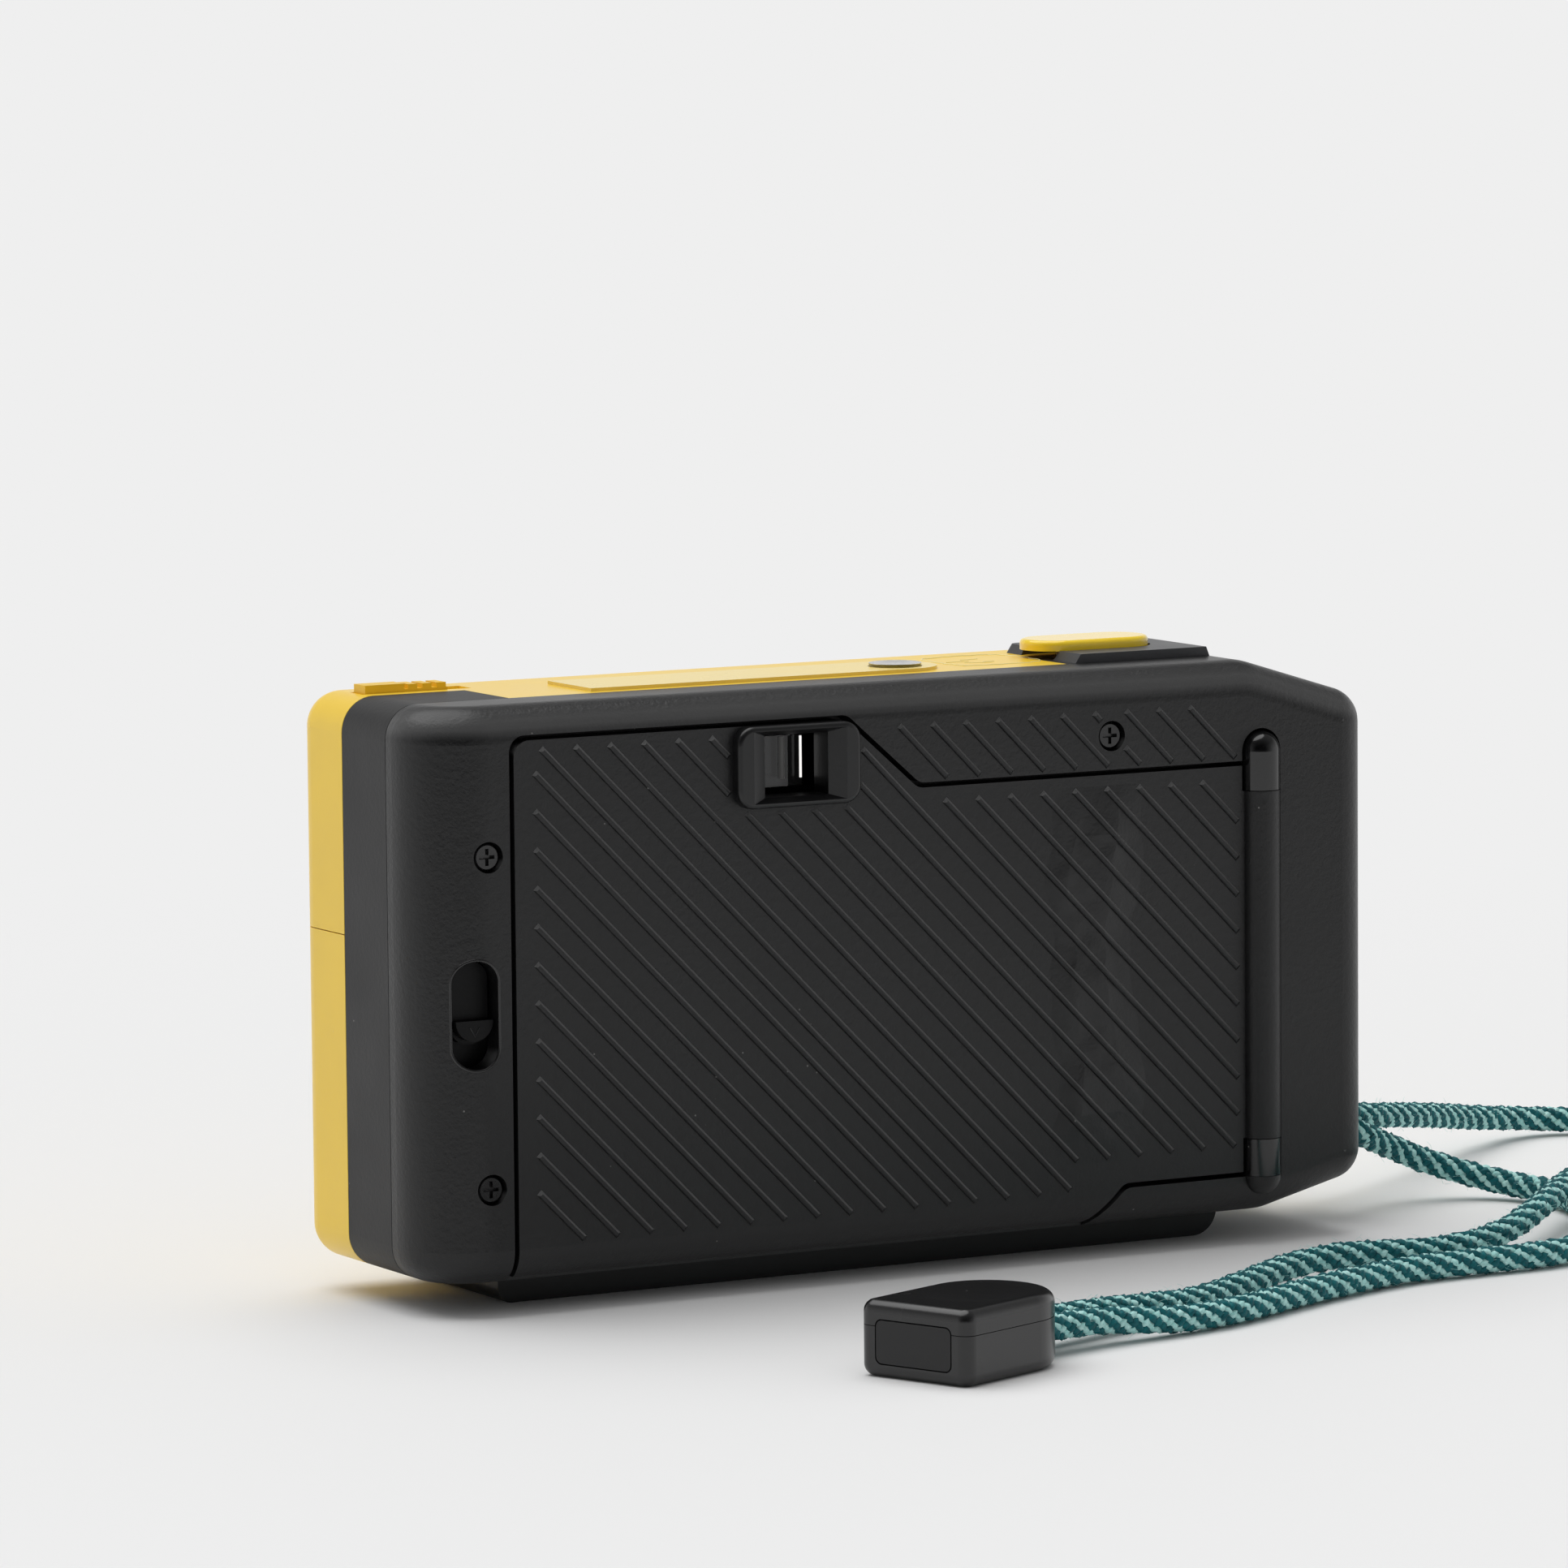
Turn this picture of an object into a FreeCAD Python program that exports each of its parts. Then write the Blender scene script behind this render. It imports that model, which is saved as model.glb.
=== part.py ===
"""Compact 35 mm film camera with a braided wrist strap and its fob.

Millimetres. +Z is up, the lens looks along -Y, the film door faces +Y.
The origin lies at the middle of the camera's footprint, on the surface it stands on.
"""
import FreeCAD, Part
import math
import os

import Sketcher
from FreeCAD import Placement, Rotation, Vector

SIZES = [
    ("body_width", 130.0, "overall width, side to side"),
    ("body_height", 72.0, "top face above the table"),
    ("foot_height", 3.9, "underside of the body above the table"),
    ("front_depth", 15.7, "front face ahead of the origin"),
    ("back_depth", 18.6, "back face behind the origin"),
    ("front_seam", 3.1, "seam between yellow shell and middle band, ahead of the origin"),
    ("rear_seam", 8.6, "seam between middle band and rear frame, behind the origin"),
    ("seam_gap", 0.12, "hairline between the three casings"),
    ("wall", 2.0, "casing wall"),
    ("rear_wall", 3.0, "thickness of the rear frame's back and of the door"),
    ("edge_round", 4.2, "rounding of the body's edges"),
    ("column_round", 8.5, "rounding of the left rear column"),
    ("slope_run", 16.8, "length of the sloping shoulder at the top right"),
    ("slope_drop", 5.2, "fall of that shoulder at the side"),
    ("heel_run", 14.5, "length of the slope at the bottom right"),
    ("heel_rise", 3.6, "rise of that slope at the side"),
    ("slope_bend", 9.0, "soft bend where the slopes begin"),
    ("split_height", 43.8, "seam between the yellow shells"),
    ("fit_gap", 0.05, "clearance of a seated piece"),
    ("run_gap", 0.3, "clearance of a moving piece"),
    ("shaft_gap", 0.08, "clearance of a shaft in its bore"),
    ("tongue_left_in", 16.3, "left end of the yellow tongue, in from the side"),
    ("tongue_right_in", 37.5, "right end of the yellow tongue, in from the side"),
    ("tongue_thick", 1.2, "thickness of the tongue"),
    ("door_gap", 0.6, "gap round the film door"),
    ("door_left_in", 11.7, "left edge of the door, in from the side"),
    ("door_top_drop", 4.0, "top edge of the door below the top face"),
    ("door_low", 4.6, "bottom edge of the door"),
    ("door_step_top", 9.0, "where the door's top edge turns down"),
    ("door_step_low", 0.9, "where that diagonal ends, right of the origin"),
    ("door_shelf_drop", 12.7, "top edge of the door's right part below the top face"),
    ("door_heel", 9.2, "bottom edge of the door's right part"),
    ("heel_left", 24.7, "where the lower step begins, right of the origin"),
    ("heel_right", 29.4, "where the lower step ends, right of the origin"),
    ("corner_small", 2.0, "corner radius of door and frame outlines"),
    ("hinge_in", 15.85, "hinge axis, in from the right side"),
    ("hinge_y", 18.3, "hinge axis behind the origin"),
    ("barrel_radius", 2.45, "hinge barrel"),
    ("pin_radius", 0.7, "hinge pin"),
    ("barrel_low", 13.4, "bottom of the door's barrel"),
    ("barrel_drop", 15.8, "top of the door's barrel below the top face"),
    ("knuckle_low", 8.7, "bottom of the lower knuckle"),
    ("knuckle_drop", 8.5, "top of the domed upper knuckle below the top face"),
    ("rib_pitch", 4.5, "spacing of the 45 degree ribs, along X or Z"),
    ("rib_radius", 0.42, "half-round rib"),
    ("rib_height", 0.34, "how far a rib stands out"),
    ("rib_left_in", 2.9, "left ends of the ribs, in from the door's edge"),
    ("rib_top_drop", 1.3, "top ends of the ribs below the door's top edge"),
    ("rib_low_rise", 4.3, "bottom ends of the ribs above the door's bottom edge"),
    ("rib_right_in", 3.55, "right ends of the ribs, short of the hinge axis"),
    ("frame_rib_first", 1.4, "first short rib on the frame"),
    ("frame_rib_rise", 1.3, "lower ends of the short ribs above the door's shelf"),
    ("eye_x", 15.95, "finder axis"),
    ("eye_drop", 8.9, "finder axis below the top face"),
    ("eye_wide", 16.7, "eyepiece frame width"),
    ("eye_tall", 9.8, "eyepiece frame height"),
    ("eye_raise", 1.6, "eyepiece frame above the back"),
    ("eye_window_wide", 8.6, "eyepiece window width"),
    ("eye_window_tall", 7.4, "eyepiece window height"),
    ("finder_wide", 14.0, "finder tube width"),
    ("finder_tall", 8.2, "finder tube height"),
    ("lens_x", 3.5, "optical axis"),
    ("gate_wide", 36.0, "film gate width"),
    ("gate_tall", 24.0, "film gate height"),
    ("rail_y", 14.3, "film plane behind the origin"),
    ("rim_y", 15.3, "rear rim of the film chassis"),
    ("chassis_front", 10.6, "front face of the chassis, ahead of the origin"),
    ("chassis_left_in", 13.0, "left side of the chassis, in from the casing's side"),
    ("chassis_right_in", 17.1, "right side of the chassis, in from the casing's side"),
    ("chassis_drop", 11.0, "top of the chassis below the top face"),
    ("cassette_in", 14.5, "cassette chamber axis, in from the chassis side"),
    ("cassette_y", 3.6, "cassette chamber axis behind the origin"),
    ("cassette_radius", 13.2, "cassette chamber"),
    ("chamber_low", 9.8, "floor of the chambers"),
    ("chamber_roof", 2.2, "roof over the chambers"),
    ("spool_in", 10.7, "take-up spool axis, in from the chassis side"),
    ("spool_y", 5.3, "take-up spool axis behind the origin"),
    ("spool_radius", 7.8, "take-up spool"),
    ("spool_bay", 9.9, "take-up chamber radius"),
    ("sprocket_apart", 15.7, "sprocket axis, from the spool's"),
    ("sprocket_y", 9.5, "sprocket axis behind the origin"),
    ("sprocket_radius", 4.6, "sprocket ring"),
    ("screw_radius", 1.7, "screw head"),
    ("screw_sink", 0.5, "screw head below the surface"),
    ("slot_low", 29.6, "bottom of the latch slot"),
    ("slot_top", 42.5, "top of the latch slot"),
    ("slot_left_in", 3.9, "left side of the latch slot, in from the side"),
    ("slot_wide", 5.5, "width of the latch slot"),
    ("latch_travel", 2.4, "how far the latch slides down"),
    ("button_in", 29.5, "shutter button, in from the right side"),
    ("button_y", 0.7, "shutter button, ahead of the origin"),
    ("button_long", 17.0, "button length"),
    ("button_wide", 8.6, "button width"),
    ("button_rise", 2.3, "button's face above the top face"),
    ("button_travel", 0.9, "how far the button is pressed"),
    ("bezel_rise", 1.1, "top of the bezel above the top face"),
    ("switch_travel", 3.0, "how far the top switch slides"),
    ("label_thick", 0.4, "clear label plate"),
    ("counter_x", 7.0, "frame counter window, right of the origin"),
    ("counter_y", 2.4, "frame counter window, behind the origin"),
    ("counter_radius", 3.2, "frame counter window"),
    ("dial_radius", 6.8, "frame counter dial"),
    ("cell_radius", 5.25, "battery"),
    ("cell_long", 44.5, "battery length"),
    ("cell_in", 8.3, "battery axis, in from the right side"),
    ("cell_low", 10.0, "battery foot"),
    ("foot_left_in", 14.0, "left end of the foot plate, in from the side"),
    ("foot_right_in", 16.2, "right end of the foot plate, in from the side"),
    ("foot_front", 13.0, "front edge of the foot plate, ahead of the origin"),
    ("foot_rear", 8.3, "rear edge of the foot plate"),
    ("tripod_radius", 3.175, "quarter inch tripod thread"),
    ("tripod_deep", 5.0, "depth of the tripod thread"),
    ("lens_ring_radius", 19.0, "lens surround"),
    ("lens_ring_front", 20.75, "front of the lens surround, ahead of the origin"),
    ("barrel_bore", 12.0, "opening in the lens surround"),
    ("blade_radius", 4.0, "shutter blade"),
    ("lug_reach", 5.4, "strap bar outside the right side"),
    ("lug_bar_y", 1.8, "strap bar behind the origin"),
    ("lug_bar_radius", 1.5, "strap bar"),
    ("lug_low", 9.7, "bottom of the strap lug"),
    ("lug_top", 16.6, "top of the strap lug"),
    ("cord_radius", 1.7, "braided cord"),
    ("fob_long", 21.2, "fob length with its rounded end"),
    ("fob_wide", 15.6, "fob width"),
    ("fob_high", 8.8, "fob height"),
    ("fob_split", 5.9, "parting line of the fob"),
    ("fob_round", 1.5, "edge rounding of the fob"),
    ("screw_left_in", 8.3, "screws beside the door, in from the left side"),
    ("screw_high_drop", 17.45, "upper of these screws below the top face"),
    ("screw_low", 15.4, "lower of these screws above the table"),
    ("screw_right", 27.9, "screw above the door, right of the origin"),
    ("screw_top_drop", 8.0, "screw above the door, below the top face"),
    ("flash_in", 6.0, "flash window, in from the left side"),
    ("flash_wide", 24.0, "flash window width"),
    ("flash_drop", 4.0, "top of the flash window below the top face"),
    ("flash_tall", 8.5, "flash window height"),
    ("cap_in", 8.6, "flash capacitor axis, in from the left side"),
    ("switch_in", 4.2, "top switch, in from the left side"),
    ("lid_gap", 0.28, "clearance round the battery door"),
    ("lid_axis_in", 12.65, "battery door's pivot, in from the right side"),
    ("lid_axis_z", 5.4, "battery door's pivot above the table"),
    ("lid_barrel", 1.0, "rounded hinge edge of the battery door"),
    ("lid_peg", 0.6, "pivot peg of the battery door"),
    ("dial_drop", 2.75, "frame counter dial below the top face"),
    ("gear_step", 9.5, "idler axis inward of the spool's"),
    ("gear_back", 5.5, "idler axis ahead of the spool's"),
]

PLACES = [
    ("tongue_left", "body_width / 2 - tongue_left_in"),
    ("tongue_right", "body_width / 2 - tongue_right_in"),
    ("door_left", "body_width / 2 - door_left_in"),
    ("door_top", "body_height - door_top_drop"),
    ("door_shelf", "body_height - door_shelf_drop"),
    ("hinge_x", "body_width / 2 - hinge_in"),
    ("barrel_top", "body_height - barrel_drop"),
    ("knuckle_top", "body_height - knuckle_drop"),
    ("rib_left", "door_left - rib_left_in"),
    ("rib_top", "door_top - rib_top_drop"),
    ("rib_low", "door_low + rib_low_rise"),
    ("rib_right", "hinge_x - rib_right_in"),
    ("frame_rib_low", "door_shelf + frame_rib_rise"),
    ("eye_z", "body_height - eye_drop"),
    ("chassis_left", "body_width / 2 - chassis_left_in"),
    ("chassis_right", "body_width / 2 - chassis_right_in"),
    ("chassis_top", "body_height - chassis_drop"),
    ("chamber_top", "chassis_top - chamber_roof"),
    ("film_z", "(chamber_low + chamber_top) / 2"),
    ("cassette_x", "chassis_left - cassette_in"),
    ("spool_x", "chassis_right - spool_in"),
    ("sprocket_x", "spool_x - sprocket_apart"),
    ("slot_left", "body_width / 2 - slot_left_in"),
    ("slot_right", "slot_left - slot_wide"),
    ("button_x", "body_width / 2 - button_in"),
    ("button_top", "body_height + button_rise"),
    ("bezel_top", "body_height + bezel_rise"),
    ("cell_x", "body_width / 2 - cell_in"),
    ("foot_left", "body_width / 2 - foot_left_in"),
    ("foot_right", "body_width / 2 - foot_right_in"),
    ("lug_bar_x", "body_width / 2 + lug_reach"),
    ("slot_x", "(slot_left + slot_right) / 2"),
    ("slot_half", "(slot_left - slot_right) / 2"),
    ("screw_left", "body_width / 2 - screw_left_in"),
    ("screw_high", "body_height - screw_high_drop"),
    ("screw_top", "body_height - screw_top_drop"),
    ("flash_left", "body_width / 2 - flash_in"),
    ("flash_right", "flash_left - flash_wide"),
    ("flash_top", "body_height - flash_drop"),
    ("flash_low", "flash_top - flash_tall"),
    ("cap_x", "body_width / 2 - cap_in"),
    ("switch_left", "body_width / 2 - switch_in"),
    ("lid_axis_x", "body_width / 2 - lid_axis_in"),
    ("bay_outer", "body_width / 2 - wall - 0.5"),
    ("bay_inner", "bay_outer - 11.6"),
    ("cell_top", "cell_low + cell_long"),
    ("dial_top", "body_height - dial_drop"),
    ("plate_left", "cassette_x - cassette_radius - 1.3"),
    ("plate_right", "-sprocket_x + sprocket_radius + 0.9"),
    ("plate_middle", "(plate_left + plate_right) / 2"),
]

size = {name: value for name, value, _ in SIZES}
size.update({name: None for name, _ in PLACES})
doc = FreeCAD.newDocument("film_camera")
nodes = {}


def fill_sheet():
    """Write every driving size into the sheet under its own alias."""
    sheet = doc.addObject("Spreadsheet::Sheet", "Sizes")
    for row, (name, value, meaning) in enumerate(SIZES, start=1):
        sheet.set("A%d" % row, meaning)
        sheet.set("B%d" % row, str(value))
        sheet.setAlias("B%d" % row, name)
    for row, (name, formula) in enumerate(PLACES, start=len(SIZES) + 1):
        sheet.set("B%d" % row, "=" + formula)
        sheet.setAlias("B%d" % row, name)
        doc.recompute()
        size[name] = float(sheet.get(name))


def linked(text):
    """Return an expression in which every size name points at the sheet."""
    words, word = [], ""
    for letter in text + " ":
        if letter.isalnum() or letter == "_":
            word += letter
            continue
        if word:
            words.append("Sizes." + word if word in size else word)
            word = ""
        words.append(letter)
    return "".join(words).strip()


def bind(item, prop, text):
    """Bind one property to an expression of size names."""
    item.setExpression(prop, linked(text))


def box(name, x, y, z):
    """Make a block from three (low, high) pairs of expressions."""
    item = doc.addObject("Part::Box", name)
    for axis, prop, (low, high) in zip("xyz", ("Length", "Width", "Height"), (x, y, z)):
        bind(item, prop, "(%s) - (%s)" % (high, low))
        bind(item, "Placement.Base." + axis, low)
    return item


TURNS = {
    "X": Rotation(Vector(0, 1, 0), 90),
    "Y": Rotation(Vector(1, 0, 0), -90),
    "Z": Rotation(),
}
ACROSS = {"X": "yz", "Y": "xz", "Z": "xy"}


def rod(name, axis, centre, span, radius):
    """Make a cylinder along an axis: centre across it, span along it."""
    item = doc.addObject("Part::Cylinder", name)
    item.Placement = Placement(Vector(), TURNS[axis])
    for letter, text in zip(ACROSS[axis], centre):
        bind(item, "Placement.Base." + letter, text)
    bind(item, "Placement.Base." + axis.lower(), span[0])
    bind(item, "Height", "(%s) - (%s)" % (span[1], span[0]))
    bind(item, "Radius", radius)
    return item


def cone(name, axis, centre, span, radii):
    """Make a cone or taper along an axis."""
    item = doc.addObject("Part::Cone", name)
    item.Placement = Placement(Vector(), TURNS[axis])
    for letter, text in zip(ACROSS[axis], centre):
        bind(item, "Placement.Base." + letter, text)
    bind(item, "Placement.Base." + axis.lower(), span[0])
    bind(item, "Height", "(%s) - (%s)" % (span[1], span[0]))
    bind(item, "Radius1", radii[0])
    bind(item, "Radius2", radii[1])
    return item


def ball(name, centre, radius):
    """Make a sphere."""
    item = doc.addObject("Part::Sphere", name)
    for letter, text in zip("xyz", centre):
        bind(item, "Placement.Base." + letter, text)
    bind(item, "Radius", radius)
    return item


def fuse(name, *items):
    """Join overlapping solids into one."""
    item = doc.addObject("Part::MultiFuse", name)
    item.Shapes = list(items)
    item.Refine = True
    return item


def group(name, *items):
    """Keep separate solids together under one name."""
    item = doc.addObject("Part::Compound", name)
    item.Links = list(items)
    return item


def cut(name, base, *tools):
    """Take one or more tools away from a base."""
    item = doc.addObject("Part::Cut", name)
    item.Base = base
    item.Tool = tools[0] if len(tools) == 1 else fuse(name + "_tools", *tools)
    item.Refine = True
    return item


def common(name, first, second):
    """Keep what two solids share."""
    item = doc.addObject("Part::Common", name)
    item.Base = first
    item.Tool = second
    item.Refine = True
    return item


def rounded(name, base, radius, wanted):
    """Round the edges that the test picks out."""
    doc.recompute()
    item = doc.addObject("Part::Fillet", name)
    item.Base = base
    picked = [number for number, edge in enumerate(base.Shape.Edges, start=1) if wanted(edge)]
    item.Edges = [(number, radius, radius) for number in picked]
    return item


def bevelled(name, base, width, wanted):
    """Bevel the edges that the test picks out."""
    doc.recompute()
    item = doc.addObject("Part::Chamfer", name)
    item.Base = base
    picked = [number for number, edge in enumerate(base.Shape.Edges, start=1) if wanted(edge)]
    item.Edges = [(number, width, width) for number in picked]
    return item


SKETCH_TURNS = {
    "XY": Rotation(),
    "XZ": Rotation(Vector(1, 0, 0), 90),
    "YZ": Rotation(Vector(1, 1, 1), 120),
}
SKETCH_NORMALS = {"XY": Vector(0, 0, 1), "XZ": Vector(0, 1, 0), "YZ": Vector(1, 0, 0)}
SKETCH_OFFSETS = {"XY": "z", "XZ": "y", "YZ": "x"}


def draw(sketch, corners):
    """Draw a closed outline whose corners are bound to expressions."""
    count = len(corners)
    starts = [Vector(math.cos(turn), math.sin(turn), 0)
              for turn in (2 * math.pi * index / count for index in range(count))]
    for index in range(count):
        sketch.addGeometry(Part.LineSegment(starts[index], starts[(index + 1) % count]), False)
    for index in range(count):
        sketch.addConstraint(Sketcher.Constraint("Coincident", index, 2, (index + 1) % count, 1))
    for index, (across, up) in enumerate(corners):
        for kind, text, start in (("DistanceX", across, starts[index].x), ("DistanceY", up, starts[index].y)):
            number = sketch.addConstraint(Sketcher.Constraint(kind, index, 1, start))
            sketch.setExpression("Constraints[%d]" % number, linked(text))


def prism(name, plane, corners, span):
    """Extrude an outline drawn in a plane, from the first to the second expression."""
    sketch = doc.addObject("Sketcher::SketchObject", name + "_outline")
    sketch.Placement = Placement(Vector(), SKETCH_TURNS[plane])
    draw(sketch, corners)
    bind(sketch, "Placement.Base." + SKETCH_OFFSETS[plane], span[0])
    item = doc.addObject("Part::Extrusion", name)
    item.Base = sketch
    item.DirMode = "Custom"
    item.Dir = SKETCH_NORMALS[plane]
    bind(item, "LengthFwd", "(%s) - (%s)" % (span[1], span[0]))
    item.Solid = True
    return item


def turned(name, axis_point, corners):
    """Turn an outline of (radius, distance along Y) about an axis parallel to Y."""
    sketch = doc.addObject("Sketcher::SketchObject", name + "_outline")
    draw(sketch, corners)
    item = doc.addObject("Part::Revolution", name)
    item.Source = sketch
    item.Axis = Vector(0, 1, 0)
    item.Angle = 360
    item.Solid = True
    for letter, text in zip("xz", axis_point):
        bind(sketch, "Placement.Base." + letter, text)
        bind(item, "Base." + letter, text)
    return item


def stadium(name, axis, low, high, span, radius):
    """Make a round-ended bar: two ends across the axis, a span along it."""
    first = rod(name + "_start", axis, low, span, radius)
    second = rod(name + "_end", axis, high, span, radius)
    if axis == "Z" and low[1] == high[1]:
        sides = ("%s - (%s)" % (low[1], radius), "%s + (%s)" % (low[1], radius))
        middle = box(name + "_mid", (low[0], high[0]), sides, span)
    elif axis == "Y" and low[0] == high[0]:
        sides = ("%s - (%s)" % (low[0], radius), "%s + (%s)" % (low[0], radius))
        middle = box(name + "_mid", sides, span, (low[1], high[1]))
    else:
        raise ValueError("a stadium runs along X on a Z axis or along Z on a Y axis")
    return fuse(name, first, second, middle)


def node(name, item):
    """Give a finished piece the name of its own file."""
    item.Label = name
    nodes[name] = item
    return item


def along(edge, letter):
    """Tell whether an edge is straight and runs along one axis."""
    box_of = edge.BoundBox
    spans = {"X": box_of.XLength, "Y": box_of.YLength, "Z": box_of.ZLength}
    return spans[letter] > 0.01 and all(span < 1e-4 for key, span in spans.items() if key != letter)


def near(value, target):
    """Tell whether two lengths agree."""
    return abs(value - target) < 1e-3


def body_form(name, inset, front, back, side_round, column_round, bend_round):
    """Make the body's rounded form, or the hollow inside it when inset is the wall."""
    half = "body_width / 2 - %s" % inset
    top = "body_height - %s" % inset
    low = "foot_height + %s" % inset
    fall = "%s * sqrt(1 + (slope_drop / slope_run) ^ 2)" % inset
    climb = "%s * sqrt(1 + (heel_rise / heel_run) ^ 2)" % inset
    outline = [
        (half, low),
        (half, top),
        ("-body_width / 2 + slope_run + ((%s) - %s) * slope_run / slope_drop" % (fall, inset), top),
        ("-(%s)" % half, "body_height - (%s) - slope_drop / slope_run * (slope_run - %s)" % (fall, inset)),
        ("-(%s)" % half, "foot_height + (%s) + heel_rise / heel_run * (heel_run - %s)" % (climb, inset)),
        ("-body_width / 2 + heel_run + ((%s) - %s) * heel_run / heel_rise" % (climb, inset), low),
    ]
    block = prism(name + "_block", "XZ", outline, (front, back))
    doc.recompute()
    shape = block.Shape
    side = shape.BoundBox.XMax
    rear = shape.BoundBox.YMax
    column = rounded(name + "_column", block, column_round,
                     lambda edge: along(edge, "Z") and near(edge.BoundBox.XMin, side) and near(edge.BoundBox.YMin, rear))
    bends = rounded(name + "_bends", column, bend_round,
                    lambda edge: along(edge, "Y") and -side + 1 < edge.BoundBox.XMin < side - 1)
    corners = rounded(name + "_corners", bends, side_round,
                      lambda edge: along(edge, "Y") and near(edge.BoundBox.XMin, -side))
    doc.recompute()

    def sharp(edge):
        """Pick the edges that still are corners, not the seams of earlier roundings."""
        if along(edge, "Y"):
            return near(edge.BoundBox.XMin, side)
        if along(edge, "Z"):
            return near(abs(edge.BoundBox.XMin), side) and (
                near(edge.BoundBox.YMin, shape.BoundBox.YMin) or near(edge.BoundBox.YMin, rear))
        return True

    return rounded(name, corners, side_round, sharp)


fill_sheet()

# body form and hollow
outer = body_form("outer_form", "0", "-front_depth", "back_depth",
                  size["edge_round"], size["column_round"], size["slope_bend"])
inner = body_form("inner_form", "wall", "-front_depth + wall", "back_depth - rear_wall",
                  size["edge_round"] - size["wall"], size["column_round"] - size["wall"],
                  size["slope_bend"] - size["wall"])
LEFT = ("-body_width", "body_width")
HIGH = ("0", "body_height + foot_height")

# door outline, used by the door, its opening and its ribs


def door_outline(gap, run_out):
    """Corners of the door's outline seen from behind, let out by a gap, and down through the underside if asked."""
    outline = [
        ("door_left + %s" % gap, "door_low - %s" % gap),
        ("door_left + %s" % gap, "door_top + %s" % gap),
        ("door_step_top - %s" % ("%s * 0.4" % gap), "door_top + %s" % gap),
        ("-door_step_low - %s" % ("%s * 0.4" % gap), "door_shelf + %s" % gap),
        ("-hinge_x + barrel_radius * 0.6", "door_shelf + %s" % gap),
        ("-hinge_x + barrel_radius * 0.6", "door_heel - %s" % gap),
        ("-heel_right - %s" % ("%s * 0.5" % gap), "door_heel - %s" % gap),
        ("-heel_left - %s" % ("%s * 0.5" % gap), "door_low - %s" % gap),
    ]
    if run_out:
        outline[0] = (outline[0][0], "0")
        outline.append((outline[-1][0], "0"))
    return outline


def door_form(name, gap, span, run_out=False):
    """Make the door's prism with its outline corners rounded."""
    plain = prism(name + "_sharp", "XZ", door_outline(gap, run_out), span)
    doc.recompute()
    limit = plain.Shape.BoundBox

    def corner(edge):
        """Pick the outline corners except those at the hinge and below the body."""
        if not along(edge, "Y"):
            return False
        spot = edge.BoundBox
        return spot.XMin > limit.XMin + 1 and not (near(spot.ZMin, limit.ZMin) and (spot.XMin > 0 or run_out))

    return rounded(name, plain, size["corner_small"], corner)


# yellow front shells
front_block = common("front_block", outer, box("front_slab", LEFT, ("-front_depth", "-front_seam"), HIGH))
tongue = box("tongue", ("-tongue_right", "tongue_left"), ("-front_seam - wall", "rear_seam"),
             ("body_height - tongue_thick", "body_height"))
lens_hole = rod("lens_hole", "Y", ("lens_x", "film_z"), ("-front_depth - 1", "-front_depth + wall + 1"), "barrel_bore + 2")
finder_hole = box("finder_hole", ("eye_x - 8", "eye_x + 8"), ("-front_depth - 1", "-front_depth + wall + 1"),
                  ("eye_z - 5", "eye_z + 5"))
flash_hole = box("flash_hole", ("flash_right", "flash_left"), ("-front_depth - 1", "-front_depth + wall + 1"), ("flash_low", "flash_top"))
button_shaft = rod("button_shaft", "Z", ("-button_x", "-button_y"), ("body_height - wall - 1", "body_height + 1"), "2.3 + shaft_gap")
button_seat = rod("button_seat", "Z", ("-button_x", "-button_y"), ("body_height - 1.4", "body_height + 1"), "3.7")
switch_slot = box("switch_slot", ("switch_left - 10.5", "switch_left - 3"), ("-7.4", "-6.0"), ("body_height - wall - 1", "body_height + 1"))
switch_seat = box("switch_seat", ("switch_left - 14", "switch_left + 0.4"), ("-8.4", "-5.0"), ("body_height - 0.3", "body_height + 1"))
battery_hole = box("battery_hole", ("-bay_outer", "-bay_inner"), ("-13.2", "14.8"), ("0", "cell_low + 2"))
lid_sockets = rod("lid_sockets", "Y", ("-lid_axis_x", "lid_axis_z"), ("-13.9", "15.5"), "lid_peg + shaft_gap")
counter_hole = rod("counter_hole", "Z", ("-counter_x", "counter_y"), ("body_height - wall - 1", "body_height + 1"), "counter_radius + 0.1")
bush_hole = rod("bush_hole", "Z", ("lens_x", "-1"), ("-1", "foot_height + wall + 1"), "4.75 + fit_gap")
shell = cut("front_shell", fuse("front_with_tongue", cut("front_hollow", front_block, inner), tongue),
            lens_hole, finder_hole, flash_hole, button_shaft, button_seat, switch_slot, switch_seat, battery_hole,
            lid_sockets, counter_hole, bush_hole)
upper_shell = common("upper_shell", shell, box("upper_half", LEFT, LEFT, ("split_height + seam_gap / 2", "body_height + 1")))
lower_shell = common("lower_shell", shell, box("lower_half", LEFT, LEFT, ("0", "split_height - seam_gap / 2")))
node("front_shell_upper", upper_shell)
node("front_shell_lower", lower_shell)

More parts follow.
